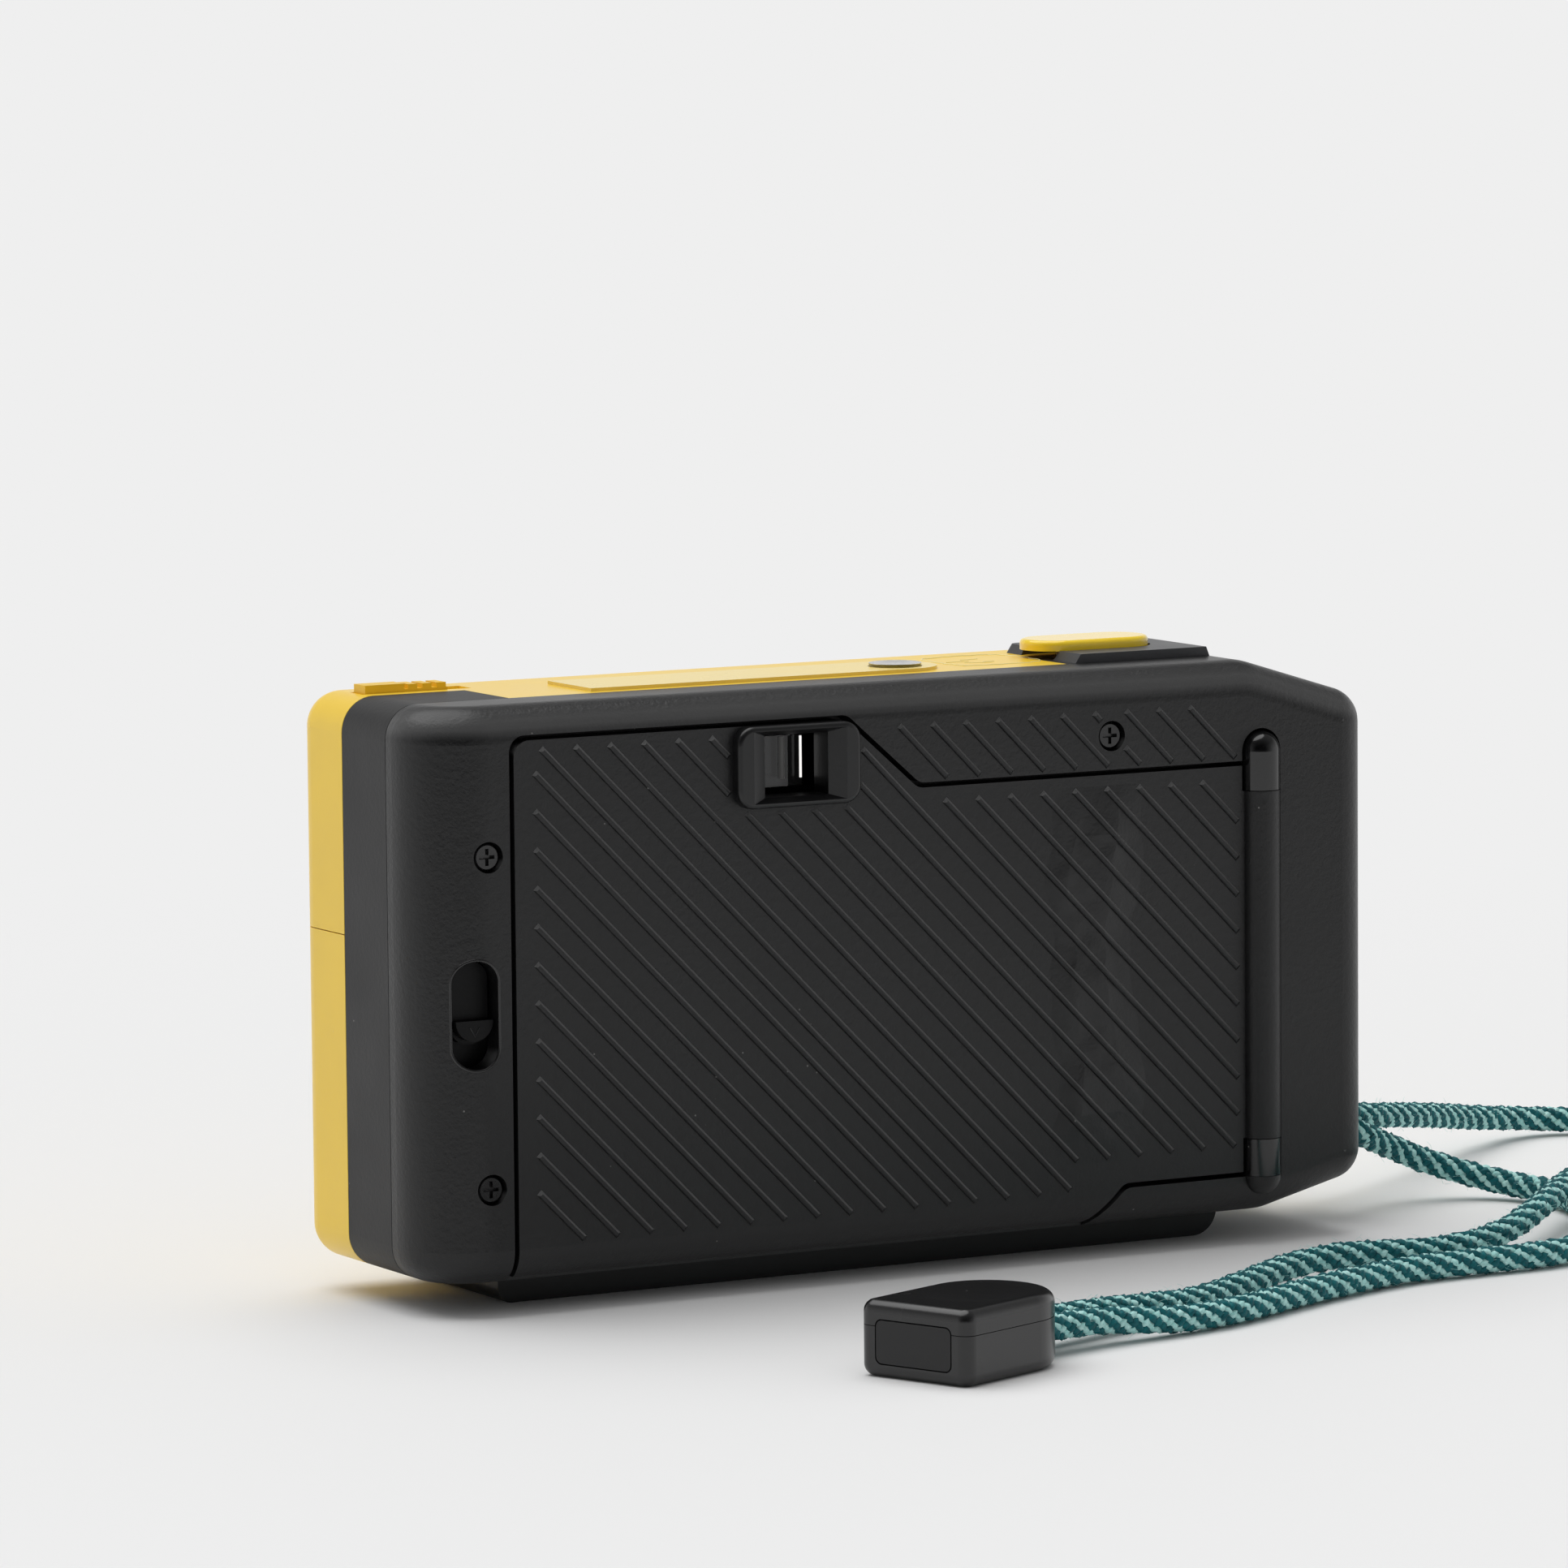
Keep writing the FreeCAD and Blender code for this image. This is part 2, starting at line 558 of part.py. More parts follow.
# middle band
band_block = common("band_block", outer, box("band_slab", LEFT, ("-front_seam + seam_gap", "rear_seam - seam_gap"), HIGH))
tongue_bed = box("tongue_bed", ("-tongue_right - fit_gap", "tongue_left + fit_gap"), ("-front_seam - wall", "rear_seam + 1"),
                 ("body_height - tongue_thick", "body_height + 1"))
band = cut("band_hollow", band_block, inner)
band_posts = []
for number, height in enumerate(("screw_high", "screw_low")):
    post = rod("band_post_%d" % number, "Y", ("screw_left", height), ("-1.5", "12"), "2.6")
    web = box("band_web_%d" % number, ("screw_left", "body_width / 2 - wall / 2"), ("-1.5", "rear_seam - seam_gap"),
              ("%s - 1" % height, "%s + 1" % height))
    band_posts += [post, web]
band = cut("band_with_holes", fuse("band_posts", band, *band_posts), tongue_bed, bush_hole, battery_hole,
           button_shaft, button_seat, counter_hole,
           *[rod("band_pilot_%d" % number, "Y", ("screw_left", height), ("4", "13"), "0.9 + fit_gap")
             for number, height in enumerate(("screw_high", "screw_low"))])
lug_sockets = [box("lug_socket_%d" % number, ("-body_width / 2 - 1", "-body_width / 2 + 1.2 + fit_gap"),
                   ("lug_bar_y - lug_bar_radius - fit_gap", "lug_bar_y + lug_bar_radius + fit_gap"), ("%s - fit_gap" % low, "%s + 1.4 + fit_gap" % low))
               for number, low in enumerate(("lug_low", "lug_top - 1.4"))]
node("middle_band", cut("band_socketed", band, *lug_sockets))

# rear frame
frame_block = common("frame_block", outer, box("frame_slab", LEFT, ("rear_seam", "back_depth"), HIGH))
hinge_wall = rod("hinge_wall", "Z", ("-hinge_x", "hinge_y"), ("knuckle_low - 2.3", "knuckle_top + 1.5"), "4")
hinge_wall_kept = common("hinge_wall_kept", hinge_wall,
                         fuse("hinge_wall_room", box("hinge_wall_right", ("-hinge_x - 5", "-hinge_x"), ("10", "back_depth - rear_wall + 0.5"), HIGH),
                              box("hinge_wall_left", ("-hinge_x - 1", "-hinge_x + 3.2"), ("10", "rim_y"), HIGH)))
frame_solid = fuse("frame_solid", cut("frame_hollow", frame_block, inner), hinge_wall_kept)
latch_bed = box("latch_bed", ("slot_right - 1", "slot_left + 0.1"), ("13.4", "back_depth - rear_wall"), ("20", "45.3"))
latch_slot = stadium("latch_slot", "Y", ("slot_x", "slot_low + slot_half"), ("slot_x", "slot_top - slot_half"),
                     ("13", "back_depth + 1"), "slot_half")
hinge_groove = rod("hinge_groove", "Z", ("-hinge_x", "hinge_y"), ("knuckle_low", "knuckle_top - barrel_radius"),
                   "barrel_radius + run_gap")
hinge_dome_room = ball("hinge_dome_room", ("-hinge_x", "hinge_y", "knuckle_top - barrel_radius"), "barrel_radius + run_gap")
frame_tools = [door_form("door_opening", "door_gap", ("back_depth - rear_wall - 0.3", "back_depth + 1"), True), latch_bed, latch_slot,
               hinge_groove, hinge_dome_room, battery_hole, lid_sockets]
frame_tools += [box("key_room_%d" % number, ("-hinge_x - 4 - fit_gap", "-hinge_x"), ("hinge_y - 2 - fit_gap", "hinge_y - 0.6 + fit_gap"), span)
                for number, span in enumerate((("barrel_top", "knuckle_top - 3 + fit_gap"), ("knuckle_low", "barrel_low")))]
SCREWS = [("screw_left", "screw_high"), ("screw_left", "screw_low"), ("-screw_right", "screw_top")]
bosses = []
for number, (across, height) in enumerate(SCREWS):
    bosses.append(rod("frame_boss_%d" % number, "Y", (across, height), ("12 + fit_gap", "back_depth - rear_wall + 0.5"), "2.8"))
    frame_tools.append(rod("head_bore_%d" % number, "Y", (across, height),
                           ("back_depth - 2", "back_depth + 1"), "screw_radius + 0.15"))
    frame_tools.append(rod("shank_bore_%d" % number, "Y", (across, height), ("11", "back_depth"), "1.1"))
spring_ledge = box("spring_ledge", ("slot_x - 1.9", "slot_x + 1.9"), ("12.4", "back_depth - rear_wall + 0.4"), ("18.4", "20"))
lower_dome = common("lower_dome", ball("lower_dome_ball", ("-hinge_x", "hinge_y", "knuckle_low"), "barrel_radius"),
                    box("lower_dome_half", ("-hinge_x - 3", "-hinge_x + 3"), ("10", "25"), ("0", "knuckle_low")))
frame = fuse("frame_bossed", cut("frame_open", frame_solid, *frame_tools[:9]), spring_ledge, lower_dome, *bosses)
frame = cut("frame_bored", frame, *frame_tools[9:])


def rib(name, start, end):
    """Make one half-round rib with round ends on the back face."""
    length = math.dist(start, end)
    radius = size["rib_radius"]
    sunk = size["back_depth"] - radius + size["rib_height"]
    low = sunk - radius
    profile = Part.makePolygon([Vector(-radius, low, 0), Vector(length + radius, low, 0), Vector(length + radius, sunk, 0),
                                Vector(length, sunk + radius, 0), Vector(0, sunk + radius, 0), Vector(-radius, sunk, 0),
                                Vector(-radius, low, 0)])
    hipped = Part.Face(profile).extrude(Vector(0, 0, 2 * radius))
    hipped.translate(Vector(0, 0, -radius))
    rail = Part.makeCylinder(radius, length + 2 * radius, Vector(-radius, sunk, 0), Vector(1, 0, 0))
    bar = rail.common(hipped)
    item = doc.addObject("Part::Feature", name)
    item.Shape = bar
    heading = math.degrees(math.atan2(end[1] - start[1], end[0] - start[0]))
    item.Placement = Placement(Vector(start[0], 0, start[1]), Rotation(Vector(0, -1, 0), heading))
    return item


frame_ribs = []
rib_top, rib_pitch = size["rib_top"], size["rib_pitch"]
screw_x, screw_z = size["screw_right"], size["screw_top"]
clear = size["screw_radius"] + 1.0
for number in range(10):
    start_x = size["frame_rib_first"] - number * rib_pitch
    drop = rib_top - size["frame_rib_low"]
    start, end = (start_x, rib_top), (start_x - drop, size["frame_rib_low"])
    offset = (start_x - (-screw_x)) - (rib_top - screw_z)
    if abs(offset) < rib_pitch / 2:
        middle = rib_top - screw_z + offset / 2
        first = middle - clear / math.sqrt(2)
        second = middle + clear / math.sqrt(2)
        frame_ribs.append(rib("frame_rib_%d_a" % number, start, (start_x - first, rib_top - first)))
        frame_ribs.append(rib("frame_rib_%d_b" % number, (start_x - second, rib_top - second), end))
    else:
        frame_ribs.append(rib("frame_rib_%d" % number, start, end))
frame_full = fuse("frame_ribbed", frame, *frame_ribs)
node("rear_frame", frame_full)

# hinge
upper_knuckle = fuse("upper_knuckle_solid",
                     rod("upper_knuckle_rod", "Z", ("-hinge_x", "hinge_y"), ("barrel_top + 0.1", "knuckle_top - barrel_radius"), "barrel_radius"),
                     ball("upper_knuckle_dome", ("-hinge_x", "hinge_y", "knuckle_top - barrel_radius"), "barrel_radius"))
upper_key = box("upper_key", ("-hinge_x - 4", "-hinge_x"), ("hinge_y - 2", "hinge_y - 0.6"), ("barrel_top + 0.1", "knuckle_top - 3"))
lower_key = box("lower_key", ("-hinge_x - 4", "-hinge_x"), ("hinge_y - 2", "hinge_y - 0.6"), ("knuckle_low + fit_gap", "barrel_low - 0.1"))
pin_room = rod("pin_room", "Z", ("-hinge_x", "hinge_y"), ("0", "knuckle_top - 2"), "pin_radius + fit_gap")
node("hinge_knuckle_upper", cut("upper_knuckle", fuse("upper_knuckle_keyed", upper_knuckle, upper_key), pin_room))
lower_knuckle = rod("lower_knuckle_rod", "Z", ("-hinge_x", "hinge_y"), ("knuckle_low + fit_gap", "barrel_low - 0.1"), "barrel_radius")
node("hinge_knuckle_lower", cut("lower_knuckle", fuse("lower_knuckle_keyed", lower_knuckle, lower_key), pin_room))
node("hinge_pin", rod("hinge_pin_rod", "Z", ("-hinge_x", "hinge_y"), ("knuckle_low + fit_gap", "knuckle_top - 2.1"), "pin_radius"))

# film door
door_block = common("door_block", outer, door_form("door_prism", "0", ("back_depth - rear_wall", "back_depth + 1")))
barrel = rod("door_barrel", "Z", ("-hinge_x", "hinge_y"), ("barrel_low", "barrel_top"), "barrel_radius")
corner_cut_top = box("corner_cut_top", ("-hinge_x - 4", "-hinge_x + barrel_radius + run_gap"), ("rear_seam", "back_depth + 1"),
                     ("barrel_top", "door_shelf + 1"))
corner_cut_low = box("corner_cut_low", ("-hinge_x - 4", "-hinge_x + barrel_radius + run_gap"), ("rear_seam", "back_depth + 1"),
                     ("door_heel - 1", "barrel_low"))
barrel_bore = rod("barrel_pin_bore", "Z", ("-hinge_x", "hinge_y"), ("0", "body_height"), "pin_radius + shaft_gap")
eye_hole = box("eye_hole", ("eye_x - eye_window_wide / 2 - 2", "eye_x + eye_window_wide / 2 + 2"), ("rear_seam", "back_depth + 2"),
               ("eye_z - eye_window_tall / 2 - 0.6", "eye_z + eye_window_tall / 2 + 0.6"))
spring_room = box("spring_room", ("plate_middle - 16", "plate_middle + 16"), ("back_depth - rear_wall - 1", "back_depth - rear_wall + 1.2"),
                  ("film_z - 4", "film_z + 4"))
hook = box("door_hook", ("door_left - 1.1", "door_left - 0.1"), ("12.6", "back_depth - rear_wall + 0.5"), ("35.6", "38.4"))
door_ribs = []


def rib_end(start):
    """Run one door rib down to the right until it meets a limit."""
    reach = min(start[1] - size["rib_low"], start[0] + size["rib_right"])
    return start[0] - reach, start[1] - reach


def blocked(spot):
    """Tell whether a spot lies under the eyepiece frame or past the diagonal edge."""
    half_wide, half_tall = size["eye_wide"] / 2 + 0.5, size["eye_tall"] / 2 + 0.5
    under_eye = abs(spot[0] - size["eye_x"]) < half_wide and abs(spot[1] - size["eye_z"]) < half_tall
    over_shelf = spot[0] < size["door_step_top"] and spot[1] > size["door_shelf"] - 1.6 + max(
        0, (spot[0] + size["door_step_low"]) * (size["door_top"] - size["door_shelf"]) /
        (size["door_step_top"] + size["door_step_low"]))
    in_heel = spot[0] < -size["heel_left"] + 3 and spot[1] < size["door_heel"] + 3.3
    return under_eye or over_shelf or in_heel


starts = [(size["rib_left"], size["rib_top"] - 2.8 - index * rib_pitch) for index in range(12)]
starts += [(size["rib_left"] - 0.9 - index * rib_pitch, rib_top) for index in range(22)]
for number, begin in enumerate(starts):
    finish = rib_end(begin)
    steps = int((begin[0] - finish[0]) / 0.25)
    pieces, piece = [], []
    for index in range(steps + 1):
        spot = (begin[0] - index * 0.25, begin[1] - index * 0.25)
        if blocked(spot):
            if len(piece) > 8:
                pieces.append(piece)
            piece = []
        else:
            piece.append(spot)
    if len(piece) > 8:
        pieces.append(piece)
    for part_number, piece in enumerate(pieces):
        door_ribs.append(rib("door_rib_%d_%d" % (number, part_number), piece[0], piece[-1]))
door_body = fuse("door_solid", cut("door_trimmed", door_block, corner_cut_top, corner_cut_low), barrel, hook)
GUIDES = [(across, level) for across in ("plate_right + 7.5", "plate_left - 7.5") for level in ("film_z - 8", "film_z + 8")]
guide_bores = [rod("guide_bore_%d" % number, "Y", spot, ("rim_y", "back_depth - rear_wall + 1.6"), "0.9 + shaft_gap")
               for number, spot in enumerate(GUIDES)]
door_body = cut("door_bored", door_body, barrel_bore, eye_hole, spring_room, *guide_bores)
node("film_door", fuse("door_ribbed", door_body, *door_ribs))

# eyepiece frame on the door
eye_outer = box("eye_outer", ("eye_x - eye_wide / 2", "eye_x + eye_wide / 2"), ("back_depth", "back_depth + eye_raise"),
                ("eye_z - eye_tall / 2", "eye_z + eye_tall / 2"))
eye_outer = rounded("eye_outer_round", eye_outer, 2.2, lambda edge: along(edge, "Y"))
doc.recompute()
eye_face = size["back_depth"] + size["eye_raise"]
eye_outer = rounded("eye_outer_soft", eye_outer, 0.6, lambda edge: near(edge.BoundBox.YMin, eye_face) and near(edge.BoundBox.YMax, eye_face))
eye_plug = box("eye_plug", ("eye_x - eye_window_wide / 2 - 2 + fit_gap", "eye_x + eye_window_wide / 2 + 2 - fit_gap"),
               ("back_depth - rear_wall", "back_depth + 0.2"),
               ("eye_z - eye_window_tall / 2 - 0.6 + fit_gap", "eye_z + eye_window_tall / 2 + 0.6 - fit_gap"))
eye_window = box("eye_window", ("eye_x - eye_window_wide / 2", "eye_x + eye_window_wide / 2"), ("rear_seam", "back_depth + 3"),
                 ("eye_z - eye_window_tall / 2", "eye_z + eye_window_tall / 2"))
funnel = doc.addObject("Part::Wedge", "eye_funnel")
for prop, text in (("Xmin", "eye_x - eye_window_wide / 2"), ("Xmax", "eye_x + eye_window_wide / 2"),
                   ("Zmin", "eye_z - eye_window_tall / 2"), ("Zmax", "eye_z + eye_window_tall / 2"),
                   ("Ymin", "back_depth + eye_raise - 1.1"), ("Ymax", "back_depth + eye_raise + 0.01"),
                   ("X2min", "eye_x - eye_window_wide / 2 - 2"), ("X2max", "eye_x + eye_window_wide / 2 + 2"),
                   ("Z2min", "eye_z - eye_window_tall / 2 - 0.6"), ("Z2max", "eye_z + eye_window_tall / 2 + 0.6")):
    bind(funnel, prop, text)
node("eyepiece_frame", cut("eye_frame", fuse("eye_solid", eye_outer, eye_plug), eye_window, funnel))

# finder
finder_outer = box("finder_outer", ("eye_x - finder_wide / 2", "eye_x + finder_wide / 2"), ("-front_depth + wall", "rim_y - 1"),
                   ("eye_z - finder_tall / 2", "eye_z + finder_tall / 2"))
finder_bore = box("finder_bore", ("eye_x - finder_wide / 2 + 1", "eye_x + finder_wide / 2 - 1"), ("-front_depth", "rim_y"),
                  ("eye_z - finder_tall / 2 + 1", "eye_z + finder_tall / 2 - 1"))
node("finder_tube", cut("finder_tube_shape", finder_outer, finder_bore))
node("finder_eye_lens", box("finder_eye_lens_shape", ("eye_x - finder_wide / 2 + 1 + fit_gap", "eye_x + finder_wide / 2 - 1 - fit_gap"),
                            ("rim_y - 2.6", "rim_y - 1.2"),
                            ("eye_z - finder_tall / 2 + 1 + fit_gap", "eye_z + finder_tall / 2 - 1 - fit_gap")))
node("finder_front_window", box("finder_front_window_shape", ("eye_x - 8 + fit_gap", "eye_x + 8 - fit_gap"),
                                ("-front_depth", "-front_depth + wall"), ("eye_z - 5 + fit_gap", "eye_z + 5 - fit_gap")))

# film chassis
chassis_low = "foot_height + wall"
chassis_main = box("chassis_main", ("-chassis_right", "chassis_left"), ("-chassis_front", "rim_y"), (chassis_low, "chassis_top"))
chassis_upper = box("chassis_upper", ("1.5", "chassis_left"), ("-3", "rim_y"), ("chassis_top - 1", "body_height - wall - 0.6"))
dial_post = rod("dial_post", "Z", ("-counter_x", "counter_y - dial_radius + 1.6"), ("chassis_top - 1", "dial_top - 0.05"), "1.2")
dial_collar = rod("dial_collar", "Z", ("-counter_x", "counter_y - dial_radius + 1.6"), ("chassis_top - 1", "dial_top - 1.15"), "2.2")
frame_post = rod("frame_post", "Y", ("-screw_right", "screw_top"), ("9.6", "12"), "2.6")
frame_post_web = box("frame_post_web", ("-screw_right - 1.2", "-screw_right + 1.2"), ("9.6", "12"), ("chassis_top - 1", "screw_top"))
cassette_round = rod("cassette_round", "Z", ("cassette_x", "cassette_y"), ("chamber_low", "chamber_top"), "cassette_radius")
cassette_mouth = box("cassette_mouth", ("cassette_x - cassette_radius", "cassette_x + cassette_radius"), ("cassette_y", "rim_y + 1"),
                     ("chamber_low", "chamber_top"))
spool_round = rod("spool_round", "Z", ("-spool_x", "spool_y"), ("chamber_low", "chassis_top + 1"), "spool_bay")
spool_mouth = box("spool_mouth", ("-spool_x - spool_bay", "-spool_x + spool_bay"), ("spool_y", "rim_y + 1"), ("chamber_low", "chamber_top"))
sprocket_bay = rod("sprocket_bay", "Z", ("-sprocket_x", "sprocket_y"), ("film_z - 19", "film_z + 19"), "sprocket_radius + 1.3")
sprocket_mouth = box("sprocket_mouth", ("-sprocket_x - 5.8", "-sprocket_x + 5"), ("sprocket_y", "rim_y + 1"), ("film_z - 18", "film_z + 18"))
film_way = box("film_way", ("-spool_x + 5", "cassette_x - 8"), ("rail_y - 0.3", "rim_y + 1"), ("film_z - 18.3", "film_z + 18.3"))
gate_cut = box("gate_cut", ("lens_x - gate_wide / 2", "lens_x + gate_wide / 2"), ("rail_y - 1.8", "rim_y"),
               ("film_z - gate_tall / 2", "film_z + gate_tall / 2"))
tunnel = doc.addObject("Part::Wedge", "light_tunnel")
for prop, text in (("Xmin", "lens_x - 8"), ("Xmax", "lens_x + 8"), ("Zmin", "film_z - 6"), ("Zmax", "film_z + 6"),
                   ("Ymin", "-chassis_front"), ("Ymax", "rail_y - 1.7"),
                   ("X2min", "lens_x - gate_wide / 2"), ("X2max", "lens_x + gate_wide / 2"),
                   ("Z2min", "film_z - gate_tall / 2"), ("Z2max", "film_z + gate_tall / 2")):
    bind(tunnel, prop, text)
shutter_recess = rod("shutter_recess", "Y", ("lens_x", "film_z"), ("-chassis_front - 1", "-7.2"), "13")
finder_way = box("finder_way", ("eye_x - finder_wide / 2 - fit_gap", "eye_x + finder_wide / 2 + fit_gap"), ("-chassis_front - 1", "rim_y + 1"),
                 ("eye_z - finder_tall / 2 - fit_gap", "eye_z + finder_tall / 2 + fit_gap"))
pocket_low = box("pocket_low", ("-14", "22"), ("-chassis_front - 1", "10"), ("8", "17"))
pocket_top = box("pocket_top", ("-14", "22"), ("-chassis_front - 1", "10"), ("chassis_top - 7", "chassis_top - 3.5"))
hinge_room = rod("hinge_room", "Z", ("-hinge_x", "hinge_y"), ("0", "body_height"), "4.15")
fork_hole = rod("fork_hole", "Z", ("cassette_x", "cassette_y"), (chassis_low, "chamber_low + 1"), "2 + shaft_gap")
spool_hole = rod("spool_hole", "Z", ("-spool_x", "spool_y"), ("chamber_low - 2.2", "chamber_low + 1"), "2 + shaft_gap")
sprocket_hole = rod("sprocket_hole", "Z", ("-sprocket_x", "sprocket_y"), ("chamber_low + 2.2", "chamber_top - 1.8"), "1.2 + shaft_gap")
post_pilot = rod("post_pilot", "Y", ("-screw_right", "screw_top"), ("9", "13"), "0.9 + fit_gap")
chassis_bush_room = rod("chassis_bush_room", "Z", ("lens_x", "-1"), ("0", "foot_height + wall + 0.3"), "5")
rails = []
for number, level in enumerate(("film_z - gate_tall / 2 - 2", "film_z + gate_tall / 2 + 1")):
    rails.append(box("film_rail_%d" % number, ("-sprocket_x + 7.2", "cassette_x - cassette_radius - 0.6"),
                     ("rail_y - 1", "rail_y"), (level, "%s + 1" % level)))
chassis = common("chassis_fitted", inner, fuse("chassis_solid", chassis_main, chassis_upper, dial_collar,
                                               dial_post, frame_post, frame_post_web))
chassis = cut("chassis_cut", chassis, cassette_round, cassette_mouth, spool_round, spool_mouth, sprocket_bay, sprocket_mouth,
              film_way, gate_cut, tunnel, shutter_recess, finder_way, pocket_low, pocket_top, hinge_room, fork_hole,
              spool_hole, sprocket_hole, post_pilot, chassis_bush_room)
node("film_chassis", fuse("chassis_railed", chassis, *rails))

# film transport
spool_body = cut("spool_tube",
                 rod("spool_outer", "Z", ("-spool_x", "spool_y"), ("chamber_low + 0.3", "chassis_top + 0.25"), "spool_radius"),
                 rod("spool_inner", "Z", ("-spool_x", "spool_y"), ("chamber_low + 2.3", "chassis_top + 2"), "6.5"))
spool_flange = cut("spool_flange",
                   rod("spool_flange_disc", "Z", ("-spool_x", "spool_y"), ("chamber_low + 1.2", "chamber_low + 2.4"), "spool_radius + 1.2"),
                   rod("spool_flange_bore", "Z", ("-spool_x", "spool_y"), ("chamber_low", "chamber_low + 4"), "spool_radius - 0.4"))
spool_stub = rod("spool_stub", "Z", ("-spool_x", "spool_y"), ("chamber_low - 2", "chamber_low + 1"), "2")
film_slots = [box("film_slot_%d" % number, ("-spool_x - spool_radius", "-spool_x + spool_radius"),
                  ("spool_y + 6.9", "spool_y + 9"), (level, "%s + 3" % level))
              for number, level in enumerate(("film_z - 14", "film_z - 1.5", "film_z + 11"))]


def gear(name, centre, span, radius, teeth, bore):
    """Make a spur gear: a disc with square-cut teeth whose tips stop short of the pitch circle."""
    item = doc.addObject("Part::Feature", name)
    depth = 0.7
    width = math.pi * radius / teeth / 2
    disc = Part.makeCylinder(radius - depth, span[1] - span[0], Vector(centre[0], centre[1], span[0]))
    for index in range(teeth):
        turn = 360.0 * index / teeth
        tooth = Part.makeBox(depth + 0.5, width, span[1] - span[0], Vector(radius - depth - 0.5, -width / 2, span[0]))
        tooth.rotate(Vector(), Vector(0, 0, 1), turn)
        tooth.translate(Vector(centre[0], centre[1], 0))
        disc = disc.fuse(tooth)
    if bore:
        disc = disc.cut(Part.makeCylinder(bore, span[1] - span[0] + 2, Vector(centre[0], centre[1], span[0] - 1)))
    item.Shape = disc.removeSplitter()
    return item


spool_centre = (-size["spool_x"], size["spool_y"])
idler_centre = (spool_centre[0] + size["gear_step"], spool_centre[1] - size["gear_back"])
centres = math.dist(spool_centre, idler_centre)
rim_pitch = centres * 3 / 4
pinion_pitch = centres / 4
deck = size["chassis_top"]
spool_gear = gear("spool_gear", spool_centre, (deck + 0.2, deck + 1.2), rim_pitch - 0.1, 24, 6.5)
node("take_up_spool", fuse("spool_whole", cut("spool_slotted", spool_body, *film_slots), spool_flange, spool_stub, spool_gear))
idler_spot = ("-spool_x + gear_step", "spool_y - gear_back")
idler = fuse("idler_whole",
             gear("idler_big", idler_centre, (deck + 3.3, deck + 4.7), centres - pinion_pitch - 0.1, 24, 0),
             gear("idler_small", idler_centre, (deck + 0.3, deck + 1.1), centres - rim_pitch - 0.1, 8, 0),
             rod("idler_shaft", "Z", idler_spot, ("chassis_top + 0.1", "chassis_top + 5.2"), "1"))
node("reduction_gear", idler)
node("motor_pinion", gear("pinion_shape", spool_centre, (deck + 3.3, deck + 4.9), pinion_pitch - 0.1, 8, 0.8))
motor = fuse("motor_whole", rod("motor_can", "Z", ("-spool_x", "spool_y"), ("30", "chassis_top + 1.4"), "5.9"),
             rod("motor_shaft", "Z", ("-spool_x", "spool_y"), ("chassis_top + 1", "chassis_top + 5.4"), "0.75"))
node("drive_motor", motor)
bridge_ends = ("-spool_x - 9.6", "-spool_x + 20.2")
bridge_plate = prism("bridge_plate", "XY",
                     [(bridge_ends[0], "-5"), ("-spool_x + 13.2", "-9"), (bridge_ends[1], "-9"), (bridge_ends[1], "8.8"), (bridge_ends[0], "8.8")],
                     ("chassis_top + 1.4", "chassis_top + 2.6"))
inner_leg = ("-spool_x + 15.2", "-spool_x + 19.2")
outer_leg = (bridge_ends[0], "-spool_x - 8.2")
bridge_legs = [box("bridge_leg_%d" % number, x, y, ("chassis_top", "chassis_top + 1.6"))
               for number, (x, y) in enumerate(((inner_leg, ("4", "8")), (outer_leg, ("-8", "-5.2")), (inner_leg, ("-9", "-6"))))]
idler_hole = rod("idler_hole", "Z", idler_spot, ("chassis_top - 1", "chassis_top + 5"), "1 + shaft_gap")
motor_hole = rod("motor_hole", "Z", ("-spool_x", "spool_y"), ("chassis_top - 1", "chassis_top + 5"), "0.75 + shaft_gap")
node("gear_bridge", cut("bridge_whole", fuse("bridge_solid", bridge_plate, *bridge_legs), idler_hole, motor_hole))

sprocket_core = rod("sprocket_core", "Z", ("-sprocket_x", "sprocket_y"), ("film_z - 17.5", "film_z + 17.5"), "3.2")
sprocket_shaft = rod("sprocket_shaft", "Z", ("-sprocket_x", "sprocket_y"), ("chamber_low + 2.3", "chamber_top - 1.9"), "1.2")
rings = []
for number, level in enumerate((-14.1, 14.1)):
    middle = size["film_z"] + level
    rings.append(gear("sprocket_ring_%d" % number, (-size["sprocket_x"], size["sprocket_y"]), (middle - 1, middle + 1),
                      size["sprocket_radius"] + 0.9, 8, 0))
node("film_sprocket", fuse("sprocket_whole", sprocket_core, sprocket_shaft, *rings))
fork_shaft = rod("fork_shaft", "Z", ("cassette_x", "cassette_y"), (chassis_low + " + 0.1", "chamber_low + 3.2"), "2")
fork_slot = box("fork_slot", ("cassette_x - 0.7", "cassette_x + 0.7"), ("cassette_y - 3", "cassette_y + 3"), ("chamber_low + 1.4", "chamber_low + 4"))
fork_disc = rod("fork_disc", "Z", ("cassette_x", "cassette_y"), ("chamber_low + 0.2", "chamber_low + 1"), "4.5")
node("rewind_fork", cut("fork_whole", fuse("fork_solid", fork_shaft, fork_disc), fork_slot))
plate_back = "back_depth - rear_wall - 0.4"
guide_pins = [rod("plate_guide_%d" % number, "Y", spot, ("rail_y + 0.5", "back_depth - rear_wall + 1.2"), "0.9")
              for number, spot in enumerate(GUIDES)]
node("pressure_plate", fuse("plate_guided", bevelled("plate_soft", box("plate_block", ("plate_right", "plate_left"),
                                                   ("rail_y + 0.2", plate_back), ("film_z - 18", "film_z + 18")), 0.3,
                                 lambda edge: along(edge, "Y")), *guide_pins))
